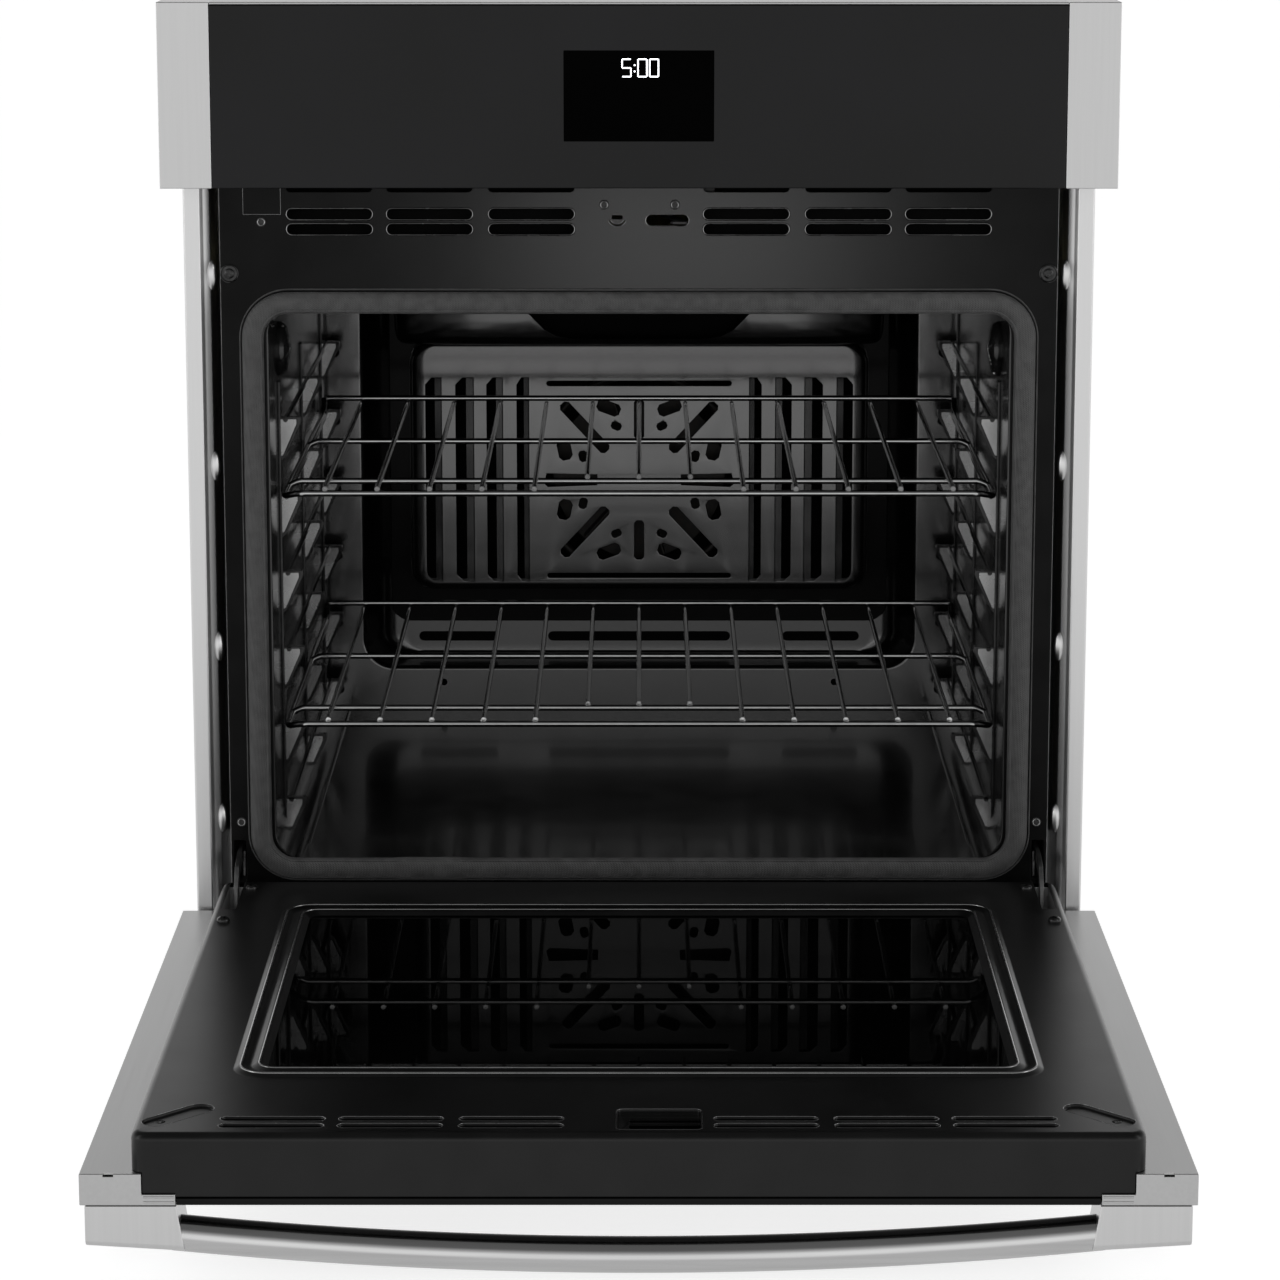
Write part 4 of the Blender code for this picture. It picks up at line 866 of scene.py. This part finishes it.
def fan_parts():
    """Convection fan, its ring element and its motor with cooling ribs and a foot."""
    # Painted shade: the fan takes the dark element finish in place of bright steel, so the cover's holes read
    # as dark.
    soften_node("convection_fan", "element", "bright_steel", 0.0003, 1, body="convection_fan")
    ring = on_plane([(FAN_RING_RADIUS * math.cos(math.radians(5 * k)),
                      FAN_Z + FAN_RING_RADIUS * math.sin(math.radians(5 * k))) for k in range(-12, 49)],
                    FAN_RING_Y, "Y")
    lead_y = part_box("convection_element")[1].y
    first, last = [(end[0], lead_y, end[2] - 0.004) for end in (ring[0], ring[-1])]
    add_piece("convection_element_tube", tubes([[first] + ring + [last]], 0.0032, resolution=5), "element",
              "element", "convection_element")
    low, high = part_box("convection_motor")
    depth = high.y - low.y
    can = turned(((0.0400, 0.0), (0.0420, 0.0015), (0.0420, depth * 0.45), (0.0405, depth * 0.48),
                  (0.0405, depth * 0.9), (0.0380, depth * 0.98), (0.0140, depth), (0.0130, depth * 0.94),
                  (0.0005, depth * 0.93)), 40)
    ribs = [moved(block((0.0395, -0.0012, depth * 0.5), (0.0418, 0.0012, depth * 0.88), 0.0004),
                  Matrix.Rotation(2 * math.pi * k / 12, 4, "Z")) for k in range(12)]
    lay = at(0, low.y, FAN_Z) @ Matrix.Rotation(-math.pi / 2, 4, "X")
    foot = plate([stadium(0, FAN_Z, 0.140, 0.024), circle(0.058, FAN_Z, 0.003), circle(-0.058, FAN_Z, 0.003)],
                 low.y, low.y + 0.0018, "Y", 0.0003)
    add_piece("convection_motor_can", joined(moved(joined(can, *ribs), lay), foot), "motor", "motor",
              "convection_motor")


DUCT_HALF = 0.2080
DUCT_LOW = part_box("ceiling_duct")[0].z
DUCT_BULGE = 0.0415
# Height above the duct's lower edge and reach of its belly there, as a share
DUCT_LEVELS = ((0.101, 1.0), (0.044, 1.0), (0.026, 0.99), (0.017, 0.965), (0.012, 0.93), (0.008, 0.88),
               (0.005, 0.80), (0.0026, 0.66), (0.001, 0.42), (0.0, 0.06))


def ceiling_duct():
    """Bowed duct under the ceiling with a wide mouth in its belly and a flat black plate inside it as painted
    shade.
    """
    back = CAVITY_BACK - 0.0004
    ceiling = CAVITY_CEILING - 0.0004
    rings = []
    for height, reach in DUCT_LEVELS:
        ring = []
        for k in range(49):
            t = math.pi * k / 48
            x = DUCT_HALF * (0.93 + 0.07 * reach) * math.cos(t)
            bow = (DUCT_BULGE - 0.003) * math.sin(t) ** 0.55 * reach
            ring.append((x, back - 0.003 * reach - bow, min(DUCT_LOW + height, ceiling)))
        rings.append(ring)
    shell = thickened(loft(rings, closed=False), 0.0008)
    half = [(0.1560, ceiling), (0.0960, 0.4625), (0.0800, 0.4460), (0.0690, 0.4400), (0.0560, 0.4375)]
    opening = prism(both_halves(half), back - DUCT_BULGE - 0.02, back - 0.016, "Y")
    add_piece("ceiling_duct_formed", carved(shell, opening), "cavity_enamel", "cavity_enamel", "ceiling_duct",
              angle=50)
    # Painted shade: a flat black plate inside the duct so its mouth reads dark.
    inner = block((-0.1850, back - 0.0150, DUCT_LOW + 0.0040), (0.1850, back - 0.0138, ceiling), 0.0003)
    add_piece("duct_shade_plate", inner, "shade", "cavity_enamel")


def heating():
    """Broil and bake elements, the broil element's clips, the probe and the insulation."""
    low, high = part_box("broil_element")
    radius = 0.0034
    loop = both_halves([(-0.04, 0.15), (-0.19, 0.15), (-0.19, -0.2), (-0.06, -0.2), (-0.06, 0.1)])
    level = on_plane(loop, low.z + radius, "Z")
    path = [(-0.04, 0.1500, high.z)] + level + [(0.04, 0.1500, high.z)]
    clips = [block((x - 0.012, -0.1506, low.z + 2 * radius), (x + 0.012, -0.1494, CAVITY_CEILING - 0.0006),
                   0.0003, 1) for x in (-0.125, 0.125)]
    add_piece("broil_element_tube", joined(tubes([rounded_path(path, 0.014)], radius, resolution=5), *clips),
              "element", "element", "broil_element")
    low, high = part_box("bake_element")
    loop = both_halves([(-0.03, 0.175), (-0.03, 0.12), (-0.2, 0.12), (-0.2, -0.15), (-0.08, -0.15),
                        (-0.08, 0.05)])
    path = rounded_path(on_plane(loop, (low.z + high.z) / 2, "Z"), 0.02)
    add_piece("bake_element_tube", tubes([path], 0.0032, resolution=5), "element", "element", "bake_element")
    soften_node("temperature_probe", "bright_steel", "bright_steel", 0.0003)
    soften_node("cavity_insulation", "wool", "wool", 0.004, 3)


def lamps():
    """Ribbed lens in a wire ring on each side wall."""
    for side_name, side in SIDES:
        low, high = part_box("lamp_" + side_name)
        centre = ((low.y + high.y) / 2, (low.z + high.z) / 2)
        profile = [(0.0205, 0.0000), (0.0208, 0.0022), (0.0196, 0.0034)]
        for k in range(6):
            radius = 0.0184 - 0.0030 * k
            height = 0.0052 + 0.0005 * k
            profile += [(radius, height), (radius - 0.0012, height + 0.0009),
                        (max(radius - 0.0024, 0.0004), height)]
        lens = turned(profile[:-1], 32)
        feet = [(0.0198 * math.cos(turn), 0.0198 * math.sin(turn)) for turn in (0.35, 0.35 + math.pi / 2)]
        guard = tubes([[(x, y, 0.0040), (0.0, 0.0, 0.0090), (-x, -y, 0.0040)] for x, y in feet], 0.0009)
        wall = side * (CAVITY_HALF - 0.0003)
        lay = at(wall, *centre) @ Matrix.Rotation(-side * math.pi / 2, 4, "Y")
        add_piece("lamp_lens_" + side_name, moved(lens, lay), "lamp_glass", "lamp", "lamp_" + side_name)
        add_piece("lamp_guard_" + side_name, moved(guard, lay), "bright_steel", "bright_steel")


# ---------------------------------------------------------------- racks and guides

def rack_guides():
    """Ladders on the side walls: at each level a bracket at three depths with a bright plate in its opening
    as painted light, and a bearing wire.
    """
    posts = (-0.2250, -0.0250, 0.1700)
    wall = CAVITY_HALF - 0.0004
    tip = 0.2530
    low, high = 0.135, 0.462
    bars, lit_panels = [], []
    for column, y in enumerate(posts):
        bars.append(block((wall - 0.0022, y, low), (wall, y + 0.014, high), 0.0006))
        for level in range(-1, 5):
            top = RACK_LOW_Z + level * RACK_LEVEL - 0.0110
            outer = [(wall, top), (tip, top), (tip - 0.0006, top - 0.0020), (tip, top - 0.0055),
                     (wall - 0.0050, top - 0.0300), (wall, top - 0.0350)]
            inner = [(wall - 0.0018, top - 0.0018), (tip + 0.0030, top - 0.0018),
                     (tip + 0.0029, top - 0.0052), (wall - 0.0036, top - 0.0285),
                     (wall - 0.0018, top - 0.0300)]
            bars.append(softened(plate([outer, inner], y + 0.004, y + 0.010, "Y"), 0.0005, 2))
            # Painted light: bright plates in the brackets' openings stand in for the lit wall seen through
            # them.
            lit_panels.append(prism(inner, y + 0.0050, y + 0.0062, "Y"))
            reach = 0.0105 if column == 2 else 0.0075
            finger = turned(((0.0030, -0.0010), (0.0046, 0.0), (0.0048, reach), (0.0042, reach + 0.0022),
                             (0.0026, reach + 0.0036), (0.0004, reach + 0.0041)), 16)
            lean = Matrix.Rotation(math.radians(-64), 4, "Y") @ Matrix.Rotation(math.radians(10), 4, "X")
            bars.append(moved(finger, at(wall - 0.0026, y + 0.0190, top - 0.0150) @ lean))
    for level in range(-1, 5):
        z = RACK_LOW_Z + level * RACK_LEVEL - 0.0130
        bars.append(tubes([[(0.2640, posts[0] + 0.004, z), (0.2640, posts[2] + 0.012, z)]], 0.0019))
    ladder = joined(*bars)
    lit_plates = joined(*lit_panels)
    for side_name, side in SIDES:
        add_piece("rack_ladder_" + side_name, sided(ladder, side), "guide_enamel", "rack_steel",
                  "rack_guide_" + side_name)
        add_piece("rack_gussets_" + side_name, sided(lit_plates, side), "highlight_enamel", "rack_steel")


def rack(node, z, glint_finish):
    """Wire rack: a bent perimeter rail, cross rails and fore-aft wires welded on top of them."""
    side_z, rail_z, stop_z = z - 0.0080, z - 0.0041, z + 0.0040
    bend, drop = 0.010, 0.0072
    left = [(-RACK_HALF, RACK_BACK - 0.0030, stop_z), (-RACK_HALF, RACK_BACK - 0.0110, side_z),
            (-RACK_HALF, RACK_FRONT + bend, side_z), (-RACK_HALF + bend, RACK_FRONT, rail_z)]
    rails = [rounded_path(both_halves(left), 0.0065)]
    for y in (RACK_INNER_FRONT, RACK_MIDDLE):
        half = [(-RACK_HALF, y, side_z + 0.0004), (-RACK_HALF + drop, y, rail_z)]
        rails.append(rounded_path(both_halves(half), 0.003))
    rails.append(both_halves([(-RACK_HALF + 0.0010, RACK_BACK, stop_z)]))
    wires = []
    for k in range(-6, 7):
        front = RACK_INNER_FRONT if abs(k) < 2 else RACK_FRONT
        x = k * RACK_PITCH
        wires.append([(x, front - 0.0016, z - 0.0004), (x, front + 0.010, z), (x, RACK_BACK - 0.004, z),
                      (x, RACK_BACK + 0.0018, z - 0.0006)])
    mesh = joined(tubes(rails, 0.0024, resolution=4), tubes(wires, 0.0019, resolution=4))
    add_piece(node + "_wires", mesh, "rack_enamel", "rack_steel", node, body=node, angle=50)
    # Painted highlights: bright caps on the wires' front ends stand in for the glints there, lighter on the
    # lower rack than on the upper one.
    tip = turned(((0.0022, 0.0), (0.0022, 0.0005), (0.0018, 0.0009), (0.0003, 0.0010)), 16)
    glint_caps = screws(tip, [wire[0] for wire in wires], "-Y")
    add_piece(node + "_tips", glint_caps, glint_finish, "rack_steel", body=node)


# ---------------------------------------------------------------- hinges and latch

def hinges():
    for side_name, side in SIDES:
        lock = "hinge_lock_" + side_name
        soften_node("hinge_receiver_" + side_name, "hinge_steel", "galvanised", 0.0005)
        soften_node("hinge_arm_" + side_name, "hinge_steel", "galvanised", 0.0005)
        soften_node(lock, "hinge_steel", "bright_steel", 0.0003, body=lock)
        soften_node("hinge_channel_" + side_name, "galvanised", "galvanised", 0.0006, body="door")
        hinge_spring("hinge_spring_" + side_name, "hinge_coil_" + side_name, side * HINGE_X)


def hinge_spring(node, name, x):
    """Close-wound spring on its hook rod."""
    low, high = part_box(node)
    z = HINGE_Z + 0.0070
    coils, around, radius = 34, 10, 0.0034
    start, end = low.y + 0.003, HINGE_Y - 0.083
    helix = []
    for k in range(coils * around + 1):
        angle = 2 * math.pi * k / around
        helix.append((x + radius * math.cos(angle), start + (end - start) * k / (coils * around),
                      z + radius * math.sin(angle)))
    rod = [(x, low.y + 0.001, z), (x, high.y - 0.001, z)]
    mesh = joined(tubes([helix], 0.0011, resolution=2), tubes([rod], 0.0018))
    add_piece(name, mesh, "galvanised", "galvanised", node, body=node)


def latch():
    soften_node("latch_motor", "plastic", "motor", 0.0015, 3)
    soften_node("latch_hook", "dark_steel", "bright_steel", 0.0004, body="latch_hook")


# ---------------------------------------------------------------- door

LINER_HALF = 0.3075
LINER_EDGE = 0.0045
BEAD_HALF = 0.2575
BEAD_LOW = 0.0460
BEAD_HIGH = 0.4350
# The bead's section: distance inwards from its outer edge, and rise over the panel
BEAD_PROFILE = (
    (0.0, 0.0), (0.0014, 0.0003), (0.0030, 0.0013), (0.0044, 0.0018), (0.0056, 0.0018), (0.0070, 0.0012),
    (0.0086, 0.0004), (0.0104, 0.0002), (0.0122, 0.0004), (0.0142, 0.0013), (0.0156, 0.0016),
    (0.0168, 0.0014), (0.0184, 0.0004), (0.0200, -0.0008), (0.0214, -0.0018),
)
DOOR_VENT_ROWS = (0.5120, 0.5245)
DOOR_VENT_LENGTH = 0.0625
DOOR_VENT_HEIGHT = 0.0066
POCKET_HALF = 0.0254
POCKET_X = 0.0125
POCKET_LOW = 0.4950
POCKET_HIGH = 0.5310
CORNER_POCKETS = [partial(stadium, side * 0.2822, HINGE_Y - 0.5050, 0.0500, 0.0160, -side * math.radians(45))
                  for side in SIGNS]
DOOR_VENTS = [partial(stadium, side * centre, HINGE_Y - row, DOOR_VENT_LENGTH, DOOR_VENT_HEIGHT, 0.0)
              for side in SIGNS for centre in VENT_CENTRES for row in DOOR_VENT_ROWS]


def centre_pocket(grow=0.0):
    return door_outline(shifted_rect(POCKET_X, POCKET_HALF, POCKET_LOW, POCKET_HIGH, 0.003, 4, grow))


def bead_outline(inset):
    """The window bead's outer edge, moved inwards."""
    return door_outline(rounded_rect(BEAD_HALF - inset, BEAD_LOW + inset, BEAD_HIGH - inset,
                                     0.0200 - inset * 0.55, 8))


def door_liner():
    """Deep-drawn inner panel: round edges, a double bead round the window, vents and recesses."""
    low_v, high_v = HINGE_Y - LINER_HIGH.y, HINGE_Y - LINER_LOW.y
    sections = [(0.0, HINGE_Z + 0.0030), (0.0, LINER_TOP - LINER_EDGE)]
    for step in range(1, 6):
        angle = math.radians(18 * step)
        sections.append((LINER_EDGE * (1 - math.cos(angle)), LINER_TOP - LINER_EDGE * (1 - math.sin(angle))))
    rings = [on_plane(door_outline(rounded_rect(LINER_HALF - inset, low_v + inset, high_v - inset,
                                                0.0095 - inset, 8)), z, "Z") for inset, z in sections]
    rings += [on_plane(bead_outline(inset), LINER_TOP + rise, "Z") for inset, rise in BEAD_PROFILE]
    sheet = thickened(loft(rings), 0.0008)

    roll = 0.0012
    pressings = [(centre_pocket, 0.0034, False)]
    pressings += [(pocket, 0.0014, True) for pocket in CORNER_POCKETS]
    pressings += [(vent, 0.0040, False) for vent in DOOR_VENTS]
    openings = [door_outline(rectangle(side * HINGE_X - 0.0052, side * HINGE_X + 0.0052, -0.0145, 0.0560))
                for side in SIGNS] + [outline(roll) for outline, _, _ in pressings]
    cutters = [prism(opening, LINER_TOP - 0.006, LINER_TOP + 0.006, "Z") for opening in openings]
    walls = [drawn(outline, LINER_TOP + 0.0004, -1, "Z", depth, roll, floor)
             for outline, depth, floor in pressings]
    floor_holes = [door_outline(shifted_rect(0.0165, 0.0225, low, high, 0.0012, 3))
                   for low, high in ((0.5128, 0.5215), (0.5030, 0.5102))]
    walls.append(plate([centre_pocket(0.0003)] + floor_holes, LINER_TOP - 0.0038, LINER_TOP - 0.0030, "Z",
                       0.0002))
    apron = door_block((-0.3010, high_v - 0.0010, -0.0126), (0.3010, high_v, 0.0060), 0.0003)
    add_piece("liner_pressing", joined(carved(sheet, joined(*cutters)), apron, *walls), "liner_enamel",
              "black_enamel", "door_liner", body="door")

    # Painted highlights: thin bright lines round the vents and pockets stand in for light on their rolled
    # edges.
    edges = rims([outline(0.0010) for outline in DOOR_VENTS + [centre_pocket] + CORNER_POCKETS],
                 LINER_TOP + 0.0002, 0.0003, "Z")
    add_piece("liner_highlight_lines", edges, "highlight_enamel", "black_enamel", body="door")
    # Painted highlights: bright lines along the window bead's two ridges.
    ridge_highlights = [rims([bead_outline(inset)], LINER_TOP + rise, radius, "Z")
              for inset, rise, radius in ((0.0048, 0.0018, 0.0011), (0.0160, 0.0015, 0.0010))]
    add_piece("bead_ridge_highlights", joined(*ridge_highlights), "highlight_enamel", "black_enamel", body="door")
    top = LINER_TOP - HINGE_Z
    # Painted shade: flat black plates under the vents and the centre pocket, with a wall behind the pocket,
    # so these openings read as dark shade.
    shade_trays = [door_block((-0.2640, 0.4930, 0.0208), (-0.0200, 0.5320, 0.0216), 0.0003),
               door_block((0.0455, 0.4930, 0.0208), (0.2640, 0.5320, 0.0216), 0.0003),
               door_block((-0.0210, 0.5003, 0.0125), (0.0465, 0.5345, 0.0133), 0.0003),
               door_block((-0.0210, 0.5003, 0.0130), (0.0465, 0.5010, top - 0.0042), 0.0002)]
    add_piece("liner_shade_plates", joined(*shade_trays), "shade", "black_enamel", body="door")

    places = [(side * x, HINGE_Y - v, LINER_TOP + 0.0003) for side in SIGNS
              for x, v in ((0.2849, 0.0034), (0.2971, 0.0876))]
    low_places = [(side * 0.2925, HINGE_Y - 0.5126, LINER_TOP - 0.0026) for side in SIGNS]
    heads = joined(screws(screw_head(0.0046, 0.0034), places, "+Z"),
                   screws(screw_head(0.0040, 0.0014), low_places, "+Z"))
    add_piece("liner_screws", heads, "dark_screw", "black_enamel", body="door")


def door_panes():
    """The door's three panes, a dark border on the inner one, the panes' holder and the wool."""
    for node, radius in (("door_inner_glass", 0.0009), ("door_middle_glass", 0.0006)):
        add_piece(node + "_pane", block(*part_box(node), radius, 2), "window_glass", "clear_glass", node,
                  body="door")
    add_piece("door_face_glass", block(*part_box("door_outer_glass"), 0.0009, 3), "door_glass", "black_glass",
              "door_outer_glass", body="door")
    low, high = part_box("door_inner_glass")
    edge, inset = [rectangle(low.x + by, high.x - by, low.y + by, high.y - by) for by in (0.0005, 0.0155)]
    border = plate([edge, inset], low.z - 0.0006, low.z - 0.0002, "Z")
    add_piece("window_border", border, "plastic", "plastic", body="door")
    soften_node("glass_holder", "galvanised", "galvanised", 0.0006, body="door")
    soften_node("door_insulation", "wool", "wool", 0.003, 3, body="door")


def door_skin():
    """Stainless outer frame with a corner relief in its fold and a hemmed strip under the liner."""
    skin = softened(node_mesh("door_skin"), 0.0010, 3)
    front = SKIN_LOW.y
    notches = [block((side * 0.3212 - 0.0032, front - 0.01, SKIN_HIGH.z - 0.0019),
                     (side * 0.3212 + 0.0032, front + 0.0024, SKIN_HIGH.z + 0.01)) for side in SIGNS]
    skin = carved(skin, joined(*notches))
    hems = [tubes([[(side * 0.2815, front + 0.0002, z), (side * 0.3000, front + 0.0002, z)]], 0.0007)
            for side in SIGNS for z in (SKIN_LOW.z + 0.0022, SKIN_LOW.z + 0.0052)]
    add_piece("door_skin_formed", joined(skin, *hems), "stainless_y", "stainless", "door_skin", body="door")


HANDLE_RADIUS = 0.0112
HANDLE_HALF = 0.2830
HANDLE_BEND_X = 0.265
HANDLE_V = 0.53025
HANDLE_END_Z = 0.0337
HANDLE_MID_Z = 0.0210
BRACKET_TOP_X = 0.2803
BRACKET_LOW_X = 0.2755
BRACKET_OUTER_X = 0.3360


def handle():
    """Bowed bar that runs into a bracket at each end."""
    steps = 72
    y = HINGE_Y - HANDLE_V
    sag = HANDLE_END_Z - HANDLE_MID_Z
    section = circle(0.0, 0.0, HANDLE_RADIUS, 40)
    rings = []
    for k in range(steps + 1):
        x = HANDLE_HALF * (2 * k / steps - 1)
        centre = Vector((x, y, HANDLE_MID_Z + sag * (x / HANDLE_BEND_X) ** 2))
        slope = 2 * sag * x / HANDLE_BEND_X ** 2
        normal = Vector((-slope, 0, 1)).normalized()
        rings.append([centre + normal * up + Vector((0, out, 0)) for out, up in section])
    bar = loft(rings, cap_first=True, cap_last=True)
    add_piece("handle_tube", bar, "polished", "stainless", "handle_bar", body="door")
    for side_name, side in SIDES:
        # The handle feet take the lightest stainless copy, a painted lighter tone.
        add_piece("handle_foot_" + side_name, sided(handle_bracket(), side), "stainless_lit_copy", "stainless",
                  "handle_bracket_" + side_name, body="door")


def handle_bracket():
    """Right bracket: its lower edge is rounded to the bar and its inner side slants."""
    low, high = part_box("handle_bracket_right")
    outer_lift = 0.0038
    nose = 0.0048
    section = [(low.y, high.z)]
    for step in range(7):
        angle = math.radians(90 * step / 6)
        section.append((low.y + nose * (1 - math.cos(angle)), low.z + nose * (1 - math.sin(angle))))
    for step in range(7):
        angle = math.radians(90 * step / 6)
        section.append((high.y - nose * 1.6 * (1 - math.sin(angle)),
                        low.z + nose * 1.6 * (1 - math.cos(angle))))
    section.append((high.y, high.z))
    rings = []
    rise = high.z - low.z
    for share in (0.0, 0.5, 1.0):
        ring = []
        for y, z in section:
            height = (z - low.z) / rise
            inner = BRACKET_LOW_X + (BRACKET_TOP_X - BRACKET_LOW_X) * height
            x = inner + (BRACKET_OUTER_X - inner) * share
            lift = outer_lift * share * (1 - height)
            ring.append((x, y, z + lift))
        rings.append(ring)
    return softened(loft(rings, cap_first=True, cap_last=True), 0.0009, 3, 40)


# ---------------------------------------------------------------- outer body

def casing(label, node, pressings, places, facing, width=0.0004):
    """A casing wall with its pressings, and its screws."""
    add_piece(label.format("casing"), joined(softened(node_mesh(node), width), *pressings), "galvanised",
              "galvanised", node)
    add_piece(label.format("screws"), screws(screw_head(0.0045, 0.0024), places, facing), "bright_steel",
              "bright_steel")


def outer_body():
    """Zinc-coated casing with pressed ribs, folded edges and its screws."""
    for node, width in (("base_pan", 0.0012), ("component_tray", 0.0004), ("junction_box", 0.0008)):
        soften_node(node, "galvanised", "galvanised", width)
    wall, back, lid = BODY_HIGH.x + 0.0015, BODY_HIGH.y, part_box("top_panel")[1].z
    ribs = [drawn(partial(stadium, y, 0.360, 0.460, 0.018, math.pi / 2), wall - 0.0002, 1, "X", 0.0018,
                  0.0016, floor=True) for y in (-0.140, 0.010, 0.160)]
    for side_name, side in SIDES:
        places = [(side * wall, y, z) for y in (-0.250, 0.0, 0.270) for z in (0.060, 0.715)]
        casing("side_{}_" + side_name, "side_panel_" + side_name, [sided(joined(*ribs), side)], places,
               "+X" if side > 0 else "-X")
    pads = [drawn(partial(shifted_rect, side * 0.195, 0.075, 0.100, 0.560, 0.014, 5), back - 0.0002, 1, "Y",
                  0.0022, 0.0020, floor=True) for side in SIGNS]
    places = [(x, back, z) for x in (-0.298, 0.0, 0.298) for z in (0.056, 0.722)]
    places += [(side * 0.298, back, 0.390) for side in SIGNS]
    casing("rear_{}", "rear_panel", pads, places, "+Y")
    beads = [drawn(partial(shifted_rect, side * 0.200, 0.070, -0.200, 0.210, 0.020, 5), lid - 0.0002, 1, "Z",
                   0.0020, 0.0020, floor=True) for side in SIGNS]
    places = [(x, y, lid) for x in (-0.300, 0.0, 0.300) for y in (-0.275, 0.275)]
    casing("top_{}", "top_panel", beads, places, "+Z", width=0.0003)


def blower():
    """Cooling blower under the lid."""
    soften_node("blower_housing", "galvanised", "galvanised", 0.0004)
    soften_node("blower_wheel", "galvanised", "galvanised", 0.0003, 1, body="blower_wheel")
    soften_node("blower_motor", "motor", "motor", 0.0012, 3)


# ---------------------------------------------------------------- stage

def stage():
    """Pale floor, the studio world and soft boxes."""
    grid = bmesh.new()
    bmesh.ops.create_grid(grid, x_segments=8, y_segments=8, size=14.0)
    floor = bpy.data.objects.new("floor", finished(grid))
    bpy.context.scene.collection.objects.link(floor)
    floor.data.materials.append(MATERIALS["floor"])
    floor.visible_glossy = False

    studio_world()
    soft_box("key", (0.0, -1.9, 3.2), (0.0, -0.3, 0.2), 2.8, 1.8, 26).visible_glossy = False
    soft_box("left_strip", (-2.3, -1.6, 1.3), (0.0, -0.4, 0.35), 0.5, 2.2, 7)
    soft_box("right_strip", (2.3, -1.6, 1.3), (0.0, -0.4, 0.35), 0.5, 2.2, 7)
    soft_box("front_fill", (0.0, -4.2, 1.5), (0.0, 0.2, 0.35), 1.8, 1.0, 18).visible_glossy = False
    sheen = soft_box("frame_sheen", (0.06, -3.0, 0.27), (0.0, -0.29, 0.58), 0.44, 0.3, 7.5)
    lit_only = bpy.data.collections.new("frame_sheen_receivers")
    lit_only.objects.link(bpy.data.objects["frame_sheet"])
    sheen.light_linking.receiver_collection = lit_only


# Height, from 0 straight down to 1 straight up, and brightness there
SKY = ((0.32, 0.62), (0.44, 1.0), (0.58, 1.0), (0.70, 0.50), (0.82, 0.14), (1.0, 0.12))


def studio_world():
    """A white band round the horizon, grey below and dark overhead, for the dark edge of round metal."""
    world = bpy.data.worlds.new("studio")
    bpy.context.scene.world = world
    world.use_nodes = True
    tree = world.node_tree
    split = new_node(tree, "SeparateXYZ", {"Vector": new_node(tree, "TexCoord").outputs["Generated"]})
    height = new_node(tree, "MapRange", {"Value": split.outputs["Z"]}, From_Min=-1.0)
    ramp = new_node(tree, "ValToRGB", {"Fac": height.outputs["Result"]})
    stops = ramp.color_ramp.elements
    for stop, (position, level) in zip(stops, SKY[:2]):
        stop.position = position
        stop.color = colour(level)
    for position, level in SKY[2:]:
        stops.new(position).color = colour(level)
    tree.links.new(ramp.outputs["Color"], tree.nodes["Background"].inputs["Color"])
    set_inputs(tree.nodes["Background"], Strength=1.0)


def soft_box(name, place, target, width, height, power):
    light = bpy.data.lights.new(name, "AREA")
    light.shape = "RECTANGLE"
    light.size = width
    light.size_y = height
    light.energy = power
    lamp = bpy.data.objects.new(name, light)
    lamp.visible_camera = False
    lamp.location = place
    lamp.rotation_euler = (Vector(target) - Vector(place)).to_track_quat("-Z", "Y").to_euler()
    bpy.context.scene.collection.objects.link(lamp)
    return lamp


CAMERA_PLACE = (0.0008, -3.187, 0.9185)
CAMERA_PITCH_DEG = 10.612
CAMERA_LENS = 113.15
CAMERA_SHIFT_Y = -0.10


def camera():
    data = bpy.data.cameras.new("camera")
    data.lens = CAMERA_LENS
    data.sensor_width = 36.0
    data.shift_y = CAMERA_SHIFT_Y
    data.clip_end = 60.0
    view = bpy.data.objects.new("camera", data)
    view.location = CAMERA_PLACE
    view.rotation_euler = (math.radians(90.0 - CAMERA_PITCH_DEG), 0.0, 0.0)
    bpy.context.scene.collection.objects.link(view)
    bpy.context.scene.camera = view
    bpy.context.scene.view_settings.view_transform = "Standard"


def main():
    make_materials()
    control_panel()
    front_frame()
    side_trims()
    door_seal()
    cavity_liner()
    cavity_back()
    fan_cover()
    fan_parts()
    ceiling_duct()
    heating()
    lamps()
    rack_guides()
    # The last argument is the finish of the painted glint caps on the wire ends.
    rack("lower_rack", RACK_LOW_Z, "bright_steel")
    rack("upper_rack", RACK_LOW_Z + 3 * RACK_LEVEL, "glint_enamel")
    hinges()
    latch()
    door_skin()
    door_liner()
    door_panes()
    handle()
    outer_body()
    blower()
    stage()
    camera()


main()
